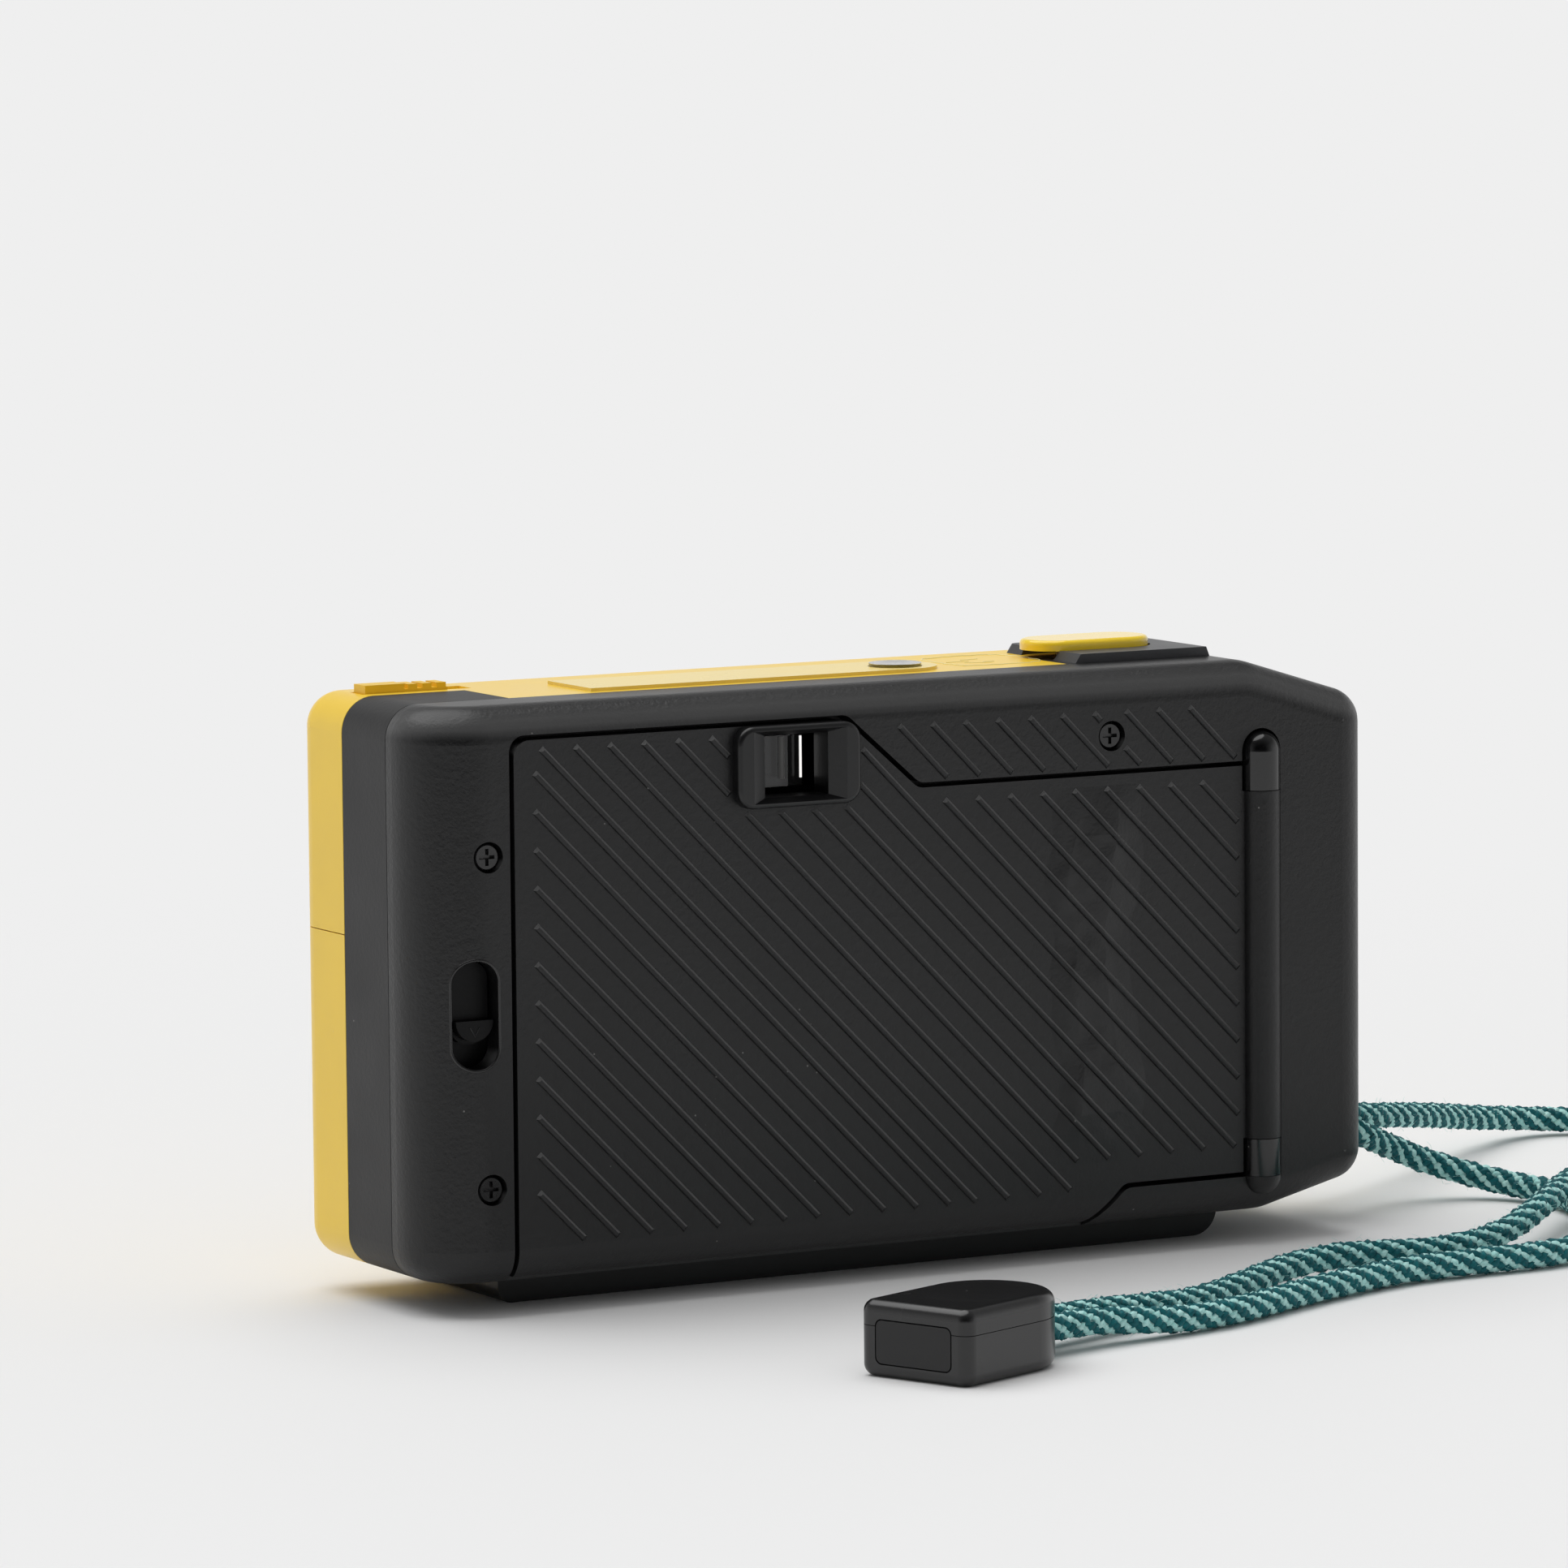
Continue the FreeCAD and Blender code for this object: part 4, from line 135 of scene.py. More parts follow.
class Net:
    """The nodes of one material, world or group, with short ways to add and join them."""

    def __init__(self, tree: bpy.types.NodeTree) -> None:
        """Takes the tree that the nodes go into."""
        self.tree = tree

    def feed(self, socket: bpy.types.NodeSocket, value: object) -> None:
        """Joins a socket to another node's output, or sets its plain value."""
        if isinstance(value, bpy.types.NodeSocket):
            self.tree.links.new(value, socket)
        else:
            socket.default_value = value

    def add(self, kind: str, feeds: dict | None = None, **settings: object) -> bpy.types.Node:
        """Adds a shader node.

        Args:
            kind: the node's type without its leading ShaderNode.
            feeds: what goes into its inputs, by the input's name or number.
            settings: the node's own properties.

        Returns:
            The new node.
        """
        node = self.tree.nodes.new("ShaderNode" + kind)
        for name, value in settings.items():
            setattr(node, name, value)
        for name, value in (feeds or {}).items():
            self.feed(node.inputs[name], value)
        return node

    def calc(
        self, operation: str, first: object, second: object = 0.0, clamp: bool = False
    ) -> bpy.types.NodeSocket:
        """The result of a Math node."""
        return self.add("Math", {0: first, 1: second}, operation=operation, use_clamp=clamp).outputs[0]

    def span(
        self, value: object, low: float, high: float, to_low: float, to_high: float
    ) -> bpy.types.NodeSocket:
        """A value taken from one range to another, held at its ends."""
        feeds = {"Value": value, "From Min": low, "From Max": high, "To Min": to_low, "To Max": to_high}
        return self.add("MapRange", feeds).outputs["Result"]

    def mix(self, share: object, first: object, second: object) -> bpy.types.NodeSocket:
        """Two colours mixed by a share that varies over the surface."""
        return self.add("Mix", {0: share, 6: first, 7: second}, data_type="RGBA").outputs[2]

    def spot(self) -> bpy.types.NodeSocket:
        """The place on the piece, in metres of the CAD frame."""
        return self.add("TexCoord").outputs["Object"]

    def noise(
        self, place: object, scale: object, detail: float = 2.0, roughness: float = 0.5
    ) -> bpy.types.NodeSocket:
        """A cloudy value from 0 to 1."""
        feeds = {"Vector": place, "Scale": scale, "Detail": detail, "Roughness": roughness}
        return self.add("TexNoise", feeds).outputs["Fac"]


def material_net(name: str) -> tuple[bpy.types.Material, Net, bpy.types.Node]:
    """A new material with its net and its one Principled shader, joined to the output."""
    material = bpy.data.materials.new(name)
    material.use_nodes = True
    material.node_tree.nodes.clear()
    net = Net(material.node_tree)
    shader = net.add("BsdfPrincipled")
    output = net.add("OutputMaterial")
    material.node_tree.links.new(shader.outputs[0], output.inputs[0])
    return material, net, shader


@dataclass
class Studio:
    """A pale floor and backdrop under one wide overhead light.

    Attributes:
        backdrop: the tone behind the object.
        floor_paint: the floor's own colour.
        floor_half: half the floor's width, in metres.
        clear_from: how far from the object the floor starts to take the backdrop's tone.
        clear_to: how far from the object it has that tone alone.
        key_strength: how strong the overhead light is.
        key_width: how wide the overhead light looks, as an angle.
        key_path: the way the overhead light shines.
        sky: how strong the light from all round is.
        sky_rise: the heights between which that light grows, as parts of a unit direction.
        sky_gain: how much of it comes from the lower and from the upper height.
        mirrored_turn: how far a direction points at the photographer where the backdrop's fade in a
            gloss starts and ends.
        mirrored_sides: how much of the backdrop a gloss shows before and after that fade.
        mirrored_rise: how far a direction points up where the second fade starts and ends.
        overhead: how much of the backdrop is left after the second fade.
    """

    backdrop: Colour = paint(239, 239, 239)
    floor_paint: Colour = paint(236, 236, 236)
    floor_half: float = 4.0
    clear_from: float = 0.16
    clear_to: float = 0.42
    key_strength: float = 1.75
    key_width: float = math.radians(62)
    key_path: tuple[float, float, float] = (-0.15, 0.3, -1.0)
    sky: float = 0.5
    sky_rise: tuple[float, float] = (-0.1, 0.9)
    sky_gain: tuple[float, float] = (0.35, 1.25)
    mirrored_turn: tuple[float, float] = (0.1, 0.85)
    mirrored_sides: tuple[float, float] = (1.0, 0.0)
    mirrored_rise: tuple[float, float] = (0.15, 0.6)
    overhead: float = 0.3

    def shaped_floor(self) -> None:
        """The floor: real shading and shadow near the camera body, the backdrop's own tone further out."""
        mesh = bpy.data.meshes.new("floor")
        half = self.floor_half
        corners = [(-half, -half, 0), (half, -half, 0), (half, half, 0), (-half, half, 0)]
        mesh.from_pydata(corners, [], [(0, 1, 2, 3)])
        floor = bpy.data.objects.new("floor", mesh)
        bpy.context.scene.collection.objects.link(floor)
        material, net, shader = material_net("floor paper")
        net.feed(shader.inputs["Base Color"], self.floor_paint)
        net.feed(shader.inputs["Roughness"], 0.75)
        net.feed(shader.inputs["Specular IOR Level"], 0.2)
        away = net.add("VectorMath", {0: net.spot()}, operation="LENGTH").outputs["Value"]
        far = net.span(away, self.clear_from, self.clear_to, 0.0, 1.0)
        seen = self.eye_ray(net)
        glow = net.add("Emission", {"Color": self.backdrop, "Strength": 1.0})
        share = net.calc("MULTIPLY", far, seen)
        blend = net.add("MixShader", {0: share, 1: shader.outputs[0], 2: glow.outputs[0]})
        output = next(node for node in material.node_tree.nodes if node.type == "OUTPUT_MATERIAL")
        net.feed(output.inputs[0], blend.outputs[0])
        mesh.materials.append(material)

    def eye_ray(self, net: Net) -> bpy.types.NodeSocket:
        """1 where the backdrop itself is seen: straight, through a clear piece or in a gloss."""
        path = net.add("LightPath").outputs
        straight = net.calc("MAXIMUM", path["Is Camera Ray"], path["Is Transmission Ray"])
        return net.calc("MAXIMUM", straight, path["Is Glossy Ray"])

    def seen_strength(self, net: Net, direction: bpy.types.NodeSocket) -> bpy.types.NodeSocket:
        """The backdrop as a gloss shows it: full behind the object, dark on the photographer's side."""
        turn = PhotoView().turn
        towards = (math.sin(turn), -math.cos(turn), 0.0)
        facing = net.add("VectorMath", {0: direction, 1: towards}, operation="DOT_PRODUCT").outputs["Value"]
        mirrored = net.span(facing, *self.mirrored_turn, *self.mirrored_sides)
        rise = net.add("SeparateXYZ", {0: direction}).outputs["Z"]
        mirrored = net.calc("MULTIPLY", mirrored, net.span(rise, *self.mirrored_rise, 1.0, self.overhead))
        gloss = net.add("LightPath").outputs["Is Glossy Ray"]
        kept = net.calc("MULTIPLY", gloss, net.calc("SUBTRACT", 1.0, mirrored))
        return net.calc("SUBTRACT", 1.0, kept)

    def shaded_sky(self) -> None:
        """The world: the backdrop's tone to the eye, softer light to the object, brighter from above."""
        world = bpy.data.worlds.new("studio")
        world.use_nodes = True
        world.node_tree.nodes.clear()
        net = Net(world.node_tree)
        direction = net.add("TexCoord").outputs["Generated"]
        rise = net.add("SeparateXYZ", {0: direction}).outputs["Z"]
        low, high = self.sky_gain
        level = net.span(rise, *self.sky_rise, low * self.sky, high * self.sky)
        light = net.add("Background", {"Color": WHITE, "Strength": level})
        seen = net.add("Background", {"Color": self.backdrop, "Strength": self.seen_strength(net, direction)})
        ray = self.eye_ray(net)
        blend = net.add("MixShader", {0: ray, 1: light.outputs[0], 2: seen.outputs[0]})
        output = net.add("OutputWorld")
        net.feed(output.inputs[0], blend.outputs[0])
        bpy.context.scene.world = world

    def key(self) -> None:
        """The wide overhead light, from a little beyond the camera body as the photographer sees it."""
        data = bpy.data.lights.new("overhead", "SUN")
        data.energy = self.key_strength
        data.angle = self.key_width
        lamp = bpy.data.objects.new("overhead", data)
        lamp.rotation_euler = Vector(self.key_path).to_track_quat("-Z", "Y").to_euler()
        bpy.context.scene.collection.objects.link(lamp)

    def build(self) -> None:
        """View, floor, world and light, with colours shown as they are."""
        bpy.context.scene.view_settings.view_transform = "Standard"
        PhotoView().place()
        self.shaped_floor()
        self.shaded_sky()
        self.key()


# Finishes


def shared_group(
    name: str, inputs: dict[str, float], outputs: dict[str, str]
) -> tuple[bpy.types.NodeTree, Net, dict]:
    """A new shader node group with named inputs and outputs.

    Args:
        name: the group's name.
        inputs: each input's name and its usual value.
        outputs: each output's name and its socket type.

    Returns:
        The group, its net, and its input sockets by name.
    """
    group = bpy.data.node_groups.new(name, "ShaderNodeTree")
    for label, value in inputs.items():
        socket = group.interface.new_socket(label, in_out="INPUT", socket_type="NodeSocketFloat")
        socket.default_value = value
    for label, kind in outputs.items():
        group.interface.new_socket(label, in_out="OUTPUT", socket_type=kind)
    net = Net(group)
    start = group.nodes.new("NodeGroupInput")
    return group, net, {label: start.outputs[label] for label in inputs}


def close_group(net: Net, results: dict[str, bpy.types.NodeSocket]) -> None:
    """Joins the results to the group's outputs."""
    end = net.tree.nodes.new("NodeGroupOutput")
    for label, socket in results.items():
        net.feed(end.inputs[label], socket)


class Effects:
    """The shader node groups that several finishes share."""

    def __init__(self) -> None:
        """Builds each group once."""
        self.grain = self.moulded_grain()
        self.wear = self.handling()

    def moulded_grain(self) -> bpy.types.NodeTree:
        """The fine pebble of a spark-eroded mould: a height, and cloudy patches where it is shallower."""
        group, net, given = shared_group(
            "moulded grain",
            {"Size": 0.35},
            {"Height": "NodeSocketFloat", "Patches": "NodeSocketFloat"},
        )
        per_metre = net.calc("DIVIDE", 1000.0, given["Size"])
        place = net.spot()
        fine = net.noise(place, per_metre)
        half = net.calc("MULTIPLY", per_metre, 0.45)
        cells = net.add("TexVoronoi", {"Vector": place, "Scale": half}, feature="SMOOTH_F1")
        pits = net.calc("MULTIPLY", cells.outputs["Distance"], 0.5)
        height = net.calc("ADD", net.calc("MULTIPLY", fine, 0.6), pits)
        clouds = net.noise(place, 45.0, 3.0, 0.6)
        patches = net.span(clouds, 0.35, 0.65, 0.0, 1.0)
        shallow = net.calc("SUBTRACT", 1.0, net.calc("MULTIPLY", patches, 0.3))
        close_group(net, {"Height": net.calc("MULTIPLY", height, shallow), "Patches": patches})
        return group

    def handling(self) -> bpy.types.NodeTree:
        """Marks of use: thin scuffed scratches and settled dust specks, each as a mask."""
        group, net, given = shared_group(
            "handling marks",
            {"Scratches": 0.3, "Dust": 0.3},
            {"Scratch": "NodeSocketFloat", "Speck": "NodeSocketFloat"},
        )
        place = net.spot()
        turned = net.add("Mapping", {"Vector": place, "Rotation": (0.3, 0.5, 0.9), "Scale": (1.0, 14.0, 1.0)})
        lines = net.noise(turned.outputs[0], 90.0, 3.0, 0.7)
        scratch = net.span(lines, 0.66, 0.72, 0.0, 1.0)
        cells = net.add("TexVoronoi", {"Vector": place, "Scale": 420.0, "Randomness": 1.0}, feature="F1")
        dots = net.span(cells.outputs["Distance"], 0.03, 0.06, 1.0, 0.0)
        rare = net.span(net.noise(place, 130.0), 0.6, 0.62, 0.0, 1.0)
        speck = net.calc("MULTIPLY", net.calc("MULTIPLY", dots, rare), given["Dust"])
        close_group(net, {"Scratch": net.calc("MULTIPLY", scratch, given["Scratches"]), "Speck": speck})
        return group


EFFECTS = Effects()


def grouped(net: Net, group: bpy.types.NodeTree, **values: float) -> bpy.types.Node:
    """A group node in a net, with its named inputs set."""
    node = net.tree.nodes.new("ShaderNodeGroup")
    node.node_tree = group
    for name, value in values.items():
        net.feed(node.inputs[name], value)
    return node


def toned(colour: Colour, gain: float, lift: float = 0.0, most: float = math.inf) -> Colour:
    """A colour made lighter or darker, with no channel above the most allowed."""
    red, green, blue = (min(most, value * gain + lift) for value in colour[:3])
    return (red, green, blue, 1.0)


@dataclass(frozen=True)
class WavyZone:
    """The upright zone near the film door's hinge that heat has made wavy.

    Attributes:
        middle: its middle, across.
        sides: how far from that middle it starts to fade, and where it ends.
        drift: how far its middle wanders.
        height: the height of its middle.
        ends: how far above and below that it starts to fade, and where it ends.
        depth: how deep the waves look.
    """

    middle: float = -20.5 * MM
    sides: tuple[float, float] = (2.5 * MM, 6.0 * MM)
    drift: float = 10 * MM
    height: float = 35 * MM
    ends: tuple[float, float] = (17 * MM, 23 * MM)
    depth: float = 1.2 * MM


@dataclass(frozen=True)
class Moulding:
    """Moulded plastic: a body colour, a grain and its gloss.

    Attributes:
        name: the material's name.
        colour: the plastic's own colour.
        rough: how dull its gloss is, 0 to 1.
        grain: the size of the moulded grain, in millimetres.
        depth: how deep that grain looks.
        scratches: how strong the rubbed scratches are.
        dust: how strong the dust specks are.
        coat: how much clear gloss lies over it.
        specular: how strong its own gloss is.
        warped: whether it has the wavy zone.
        wear_and_painted_highlight: how strong the painted highlight is, lighter grey on the upper slopes
            where the overhead light catches them.
    """

    name: str
    colour: Colour
    rough: float = 0.5
    grain: float = 0.3
    depth: float = 0.25
    scratches: float = 0.25
    dust: float = 0.3
    coat: float = 0.0
    specular: float = 0.5
    warped: bool = False
    wear_and_painted_highlight: float = 0.0

    def upper_slopes(self, net: Net) -> bpy.types.NodeSocket:
        """How far a place slopes up, as the upper side of a rib does, 0 on walls and level tops: the mask of
        the painted highlight.
        """
        normal = net.add("NewGeometry").outputs["Normal"]
        rise = net.add("SeparateXYZ", {0: normal}).outputs["Z"]
        sloping = net.span(rise, *RISE_OF_SLOPES, 0.0, 1.0)
        return net.calc("MULTIPLY", sloping, net.span(rise, *RISE_OF_TOPS, 1.0, 0.0))

    def warp(self, net: Net) -> bpy.types.NodeSocket:
        """Where the film door has gone wavy from heat, 0 to 1."""
        zone = WavyZone()
        place = net.spot()
        drift = net.noise(place, 55.0, 2.0, 0.6)
        parts = net.add("SeparateXYZ", {0: place}).outputs
        across = net.calc("ADD", parts["X"], net.calc("MULTIPLY", drift, zone.drift))
        aside = net.calc("ABSOLUTE", net.calc("SUBTRACT", across, zone.middle))
        column = net.span(aside, *zone.sides, 1.0, 0.0)
        level = net.calc("ABSOLUTE", net.calc("SUBTRACT", parts["Z"], zone.height))
        return net.calc("MULTIPLY", column, net.span(level, *zone.ends, 1.0, 0.0))

    def made(self) -> bpy.types.Material:
        """The material."""
        material, net, shader = material_net(self.name)
        texture = grouped(net, EFFECTS.grain, Size=self.grain)
        marks = grouped(net, EFFECTS.wear, Scratches=self.scratches, Dust=self.dust)
        patches = texture.outputs["Patches"]
        lighter = toned(self.colour, 1.12, 0.002, 1.0)
        tone = net.mix(net.calc("MULTIPLY", patches, 0.5), self.colour, lighter)
        tone = net.mix(marks.outputs["Scratch"], tone, toned(self.colour, 1.5, 0.01))
        # Painted highlight: upper slopes, such as the ribs' upper sides, are mixed towards light grey where
        # the overhead light would catch them.
        if self.wear_and_painted_highlight:
            painted_highlight = net.calc("MULTIPLY", self.upper_slopes(net), self.wear_and_painted_highlight)
            tone = net.mix(painted_highlight, tone, paint(126, 126, 126))
        tone = net.mix(marks.outputs["Speck"], tone, DUST_GREY)
        net.feed(shader.inputs["Base Color"], tone)
        gloss = net.span(patches, 0.0, 1.0, self.rough * 0.94, min(1.0, self.rough * 1.08))
        gloss = net.calc("ADD", gloss, net.calc("MULTIPLY", marks.outputs["Scratch"], 0.1))
        net.feed(shader.inputs["Roughness"], gloss)
        net.feed(shader.inputs["Specular IOR Level"], self.specular)
        if self.coat:
            net.feed(shader.inputs["Coat Weight"], self.coat)
            net.feed(shader.inputs["Coat Roughness"], 0.08)
        if self.depth:
            feeds = {"Height": texture.outputs["Height"], "Strength": self.depth, "Distance": MOULD_RELIEF}
            if self.warped:
                zone = self.warp(net)
                waves = net.calc("MULTIPLY", zone, net.noise(net.spot(), 160.0, 1.0, 0.4))
                swell = {"Height": waves, "Strength": 0.7, "Distance": WavyZone().depth}
                feeds["Normal"] = net.add("Bump", swell).outputs[0]
                smoother = net.calc("MULTIPLY", zone, 0.06)
                net.feed(shader.inputs["Roughness"], net.calc("SUBTRACT", gloss, smoother))
            net.feed(shader.inputs["Normal"], net.add("Bump", feeds).outputs[0])
        return material


@dataclass(frozen=True)
class Metal:
    """Bare or plated metal with a drawn grain."""

    name: str
    colour: Colour
    rough: float = 0.3
    stretch: tuple[float, float, float] = (1.0, 1.0, 12.0)

    def made(self) -> bpy.types.Material:
        """The material."""
        material, net, shader = material_net(self.name)
        place = net.add("Mapping", {"Vector": net.spot(), "Scale": self.stretch}).outputs[0]
        lines = net.noise(place, 900.0, 3.0, 0.6)
        net.feed(shader.inputs["Base Color"], net.mix(lines, toned(self.colour, 0.8), self.colour))
        net.feed(shader.inputs["Metallic"], 1.0)
        net.feed(shader.inputs["Roughness"], net.span(lines, 0.3, 0.7, self.rough * 0.8, self.rough * 1.3))
        feeds = {"Height": lines, "Strength": 0.15, "Distance": FINE_RELIEF}
        net.feed(shader.inputs["Normal"], net.add("Bump", feeds).outputs[0])
        return material


@dataclass(frozen=True)
class Clear:
    """Clear glass or acrylic, faintly tinted, with a little dust and rubbing."""

    name: str
    colour: Colour
    rough: float = 0.03
    index: float = 1.49

    def made(self) -> bpy.types.Material:
        """The material."""
        material, net, shader = material_net(self.name)
        marks = grouped(net, EFFECTS.wear, Scratches=0.3, Dust=0.3)
        tone = net.mix(marks.outputs["Speck"], self.colour, (0.8, 0.8, 0.78, 1.0))
        net.feed(shader.inputs["Base Color"], tone)
        net.feed(shader.inputs["Transmission Weight"], 1.0)
        net.feed(shader.inputs["IOR"], self.index)
        # Rougher along the scratches: real wear.
        wear_and_painted_highlight = net.calc("MULTIPLY", marks.outputs["Scratch"], 0.2)
        net.feed(shader.inputs["Roughness"], net.calc("ADD", self.rough, wear_and_painted_highlight))
        return material


@dataclass(frozen=True)
class Yarn:
    """Twisted nylon yarn: fibres along its length, with painted shade in the hollows between them and cloudy
    tone that differs at random.
    """

    name: str
    light: Colour
    dark: Colour

    def made(self) -> bpy.types.Material:
        """The material."""
        material, net, shader = material_net(self.name)
        place = net.spot()
        clouds = net.noise(place, 900.0, 3.0, 0.6)
        fibres = net.noise(place, 6000.0, 2.0, 0.6)
        broad = net.calc("MULTIPLY", clouds, 0.6)
        share = net.calc("ADD", broad, net.calc("MULTIPLY", fibres, 0.4), clamp=True)
        # Painted shade: the darker colour goes where the fine fibre noise is low, which is also where the
        # fibre bump is lowest; the cloudy noise varies the tone at random.
        tone = net.mix(net.span(share, 0.3, 0.7, 0.0, 1.0), self.dark, self.light)
        net.feed(shader.inputs["Base Color"], tone)
        net.feed(shader.inputs["Roughness"], net.span(fibres, 0.3, 0.7, 0.45, 0.7))
        net.feed(shader.inputs["Sheen Weight"], 0.05)
        net.feed(shader.inputs["Specular IOR Level"], 0.25)
        feeds = {"Height": fibres, "Strength": 0.3, "Distance": FINE_RELIEF}
        net.feed(shader.inputs["Normal"], net.add("Bump", feeds).outputs[0])
        return material


Look = Moulding | Metal | Clear


def dress(look: Look, *names: str) -> None:
    """Makes a look's material and gives it to CAD nodes."""
    material = look.made()
    for name in names:
        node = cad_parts[name]
        if node.material_slots:
            for slot in node.material_slots:
                slot.material = material
        else:
            node.data.materials.append(material)


def soften(width: float, *names: str) -> None:
    """Rounds the hard edges of CAD nodes, as their moulds do."""
    for name in names:
        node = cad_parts[name]
        bevel = node.modifiers.new("soft edges", "BEVEL")
        bevel.width = width
        bevel.segments = 3
        bevel.limit_method = "ANGLE"
        bevel.angle_limit = math.radians(30)


def round_beads(name: str, radius: float, sides: int) -> bpy.types.Curve:
    """Empty curve data whose lines come out as round beads."""
    data = bpy.data.curves.new(name, "CURVE")
    data.dimensions = "3D"
    data.bevel_depth = radius
    data.bevel_resolution = sides
    return data


def add_line(data: bpy.types.Curve, points: list[Vector], closed: bool = False) -> None:
    """Adds one line of straight steps through some points to curve data."""
    spline = data.splines.new("POLY")
    spline.points.add(len(points) - 1)
    spline.use_cyclic_u = closed
    for point, where in zip(spline.points, points):
        point.co = (where.x, where.y, where.z, 1.0)


def placed_mesh(name: str, data: bpy.types.Curve, material: bpy.types.Material) -> bpy.types.Object:
    """Turns drawn curves into one smooth mesh piece of one material."""
    drawn = bpy.data.objects.new(name, data)
    bpy.context.scene.collection.objects.link(drawn)
    bpy.context.view_layer.update()
    mesh = bpy.data.meshes.new_from_object(drawn)
    bpy.data.objects.remove(drawn)
    mesh.name = name
    mesh.materials.clear()
    mesh.materials.append(material)
    mesh.shade_smooth()
    piece = bpy.data.objects.new(name, mesh)
    bpy.context.scene.collection.objects.link(piece)
    return piece


# Strap


@dataclass
class Line:
    """A smooth line read from a route, with a steady pair of side directions at each point."""

    points: list[Vector]

    def __post_init__(self) -> None:
        """Works out lengths and side directions along the line."""
        self.marks = [0.0]
        for here, there in zip(self.points, self.points[1:]):
            self.marks.append(self.marks[-1] + (there - here).length)
        self.sides = []
        side = Vector((0, 0, 1))
        for number in range(len(self.points)):
            ahead = self.points[min(number + 1, len(self.points) - 1)]
            behind = self.points[max(number - 1, 0)]
            run = (ahead - behind).normalized()
            side = (side - run * side.dot(run)).normalized()
            self.sides.append((side.copy(), run.cross(side)))

    @property
    def length(self) -> float:
        """The whole length."""
        return self.marks[-1]

    def at(self, distance: float, start: int) -> tuple[Vector, Vector, Vector, int]:
        """The point at a distance along the line, its two side directions, and where it was found."""
        while start < len(self.marks) - 2 and self.marks[start + 1] < distance:
            start += 1
        gap = self.marks[start + 1] - self.marks[start]
        share = min(1.0, max(0.0, (distance - self.marks[start]) / gap))
        place = self.points[start].lerp(self.points[start + 1], share)
        first = self.sides[start][0].lerp(self.sides[start + 1][0], share)
        second = self.sides[start][1].lerp(self.sides[start + 1][1], share)
        return place, first, second, start


LUG_LOOP = [
    (-72.22, 4.96, 10.2),
    (-70.974, 5.871, 10.656),
    (-68.144, 5.309, 12.091),
    (-66.638, 2.691, 13.209),
    (-67.334, -0.449, 13.356),
]
OUTER_ROUTE = [
    (-68.58, -1.36, 12.9),
    (-73.2, -4.74, 11.21),
    (-83.5, -10.8, 9.7),
    (-99.0, -22.0, 7.2),
    (-114.0, -33.5, 4.2),
    (-127.5, -40.5, 2.2),
    (-139.0, -33.5, 1.8),
    (-144.0, -20.0, 1.8),
    (-139.5, -5.0, 1.8),
    (-126.0, 3.0, 2.8),
    (-108.0, 11.5, 5.2),
    (-91.0, 23.8, 5.4),
    (-79.5, 35.2, 4.9),
    (-68.5, 42.8, 2.8),
    (-56.5, 45.6, 2.1),
    (-45.8, 43.6, 2.6),
    (-36.0, 45.8, 2.4),
    (-25.5, 53.0, 2.1),
    (-13.5, 60.4, 1.9),
    (-4.5, 63.4, 2.6),
    (7.02, 66.96, 3.3),
    (18.94, 71.85, 3.3),
]
INNER_ROUTE = [
    (-72.22, 4.96, 10.2),
    (-76.9, 1.54, 8.49),
    (-82.9, -0.5, 5.9),
    (-89.4, 0.6, 3.5),
    (-94.35, 5.15, 2.1),
    (-96.2, 11.6, 1.8),
    (-95.0, 18.8, 1.8),
    (-90.8, 27.6, 1.8),
    (-87.5, 37.0, 1.8),
    (-81.0, 46.5, 1.8),
    (-71.0, 52.3, 1.8),
    (-58.0, 52.4, 1.8),
    (-48.0, 52.9, 1.8),
    (-37.5, 56.6, 1.8),
    (-27.0, 61.2, 1.8),
    (-16.5, 66.8, 1.8),
    (-5.5, 69.9, 1.8),
    (7.41, 70.98, 3.3),
    (17.59, 75.15, 3.3),
]


class Hand(Enum):
    """Which way a yarn winds round the cord."""

    LEFT = -1
    RIGHT = 1


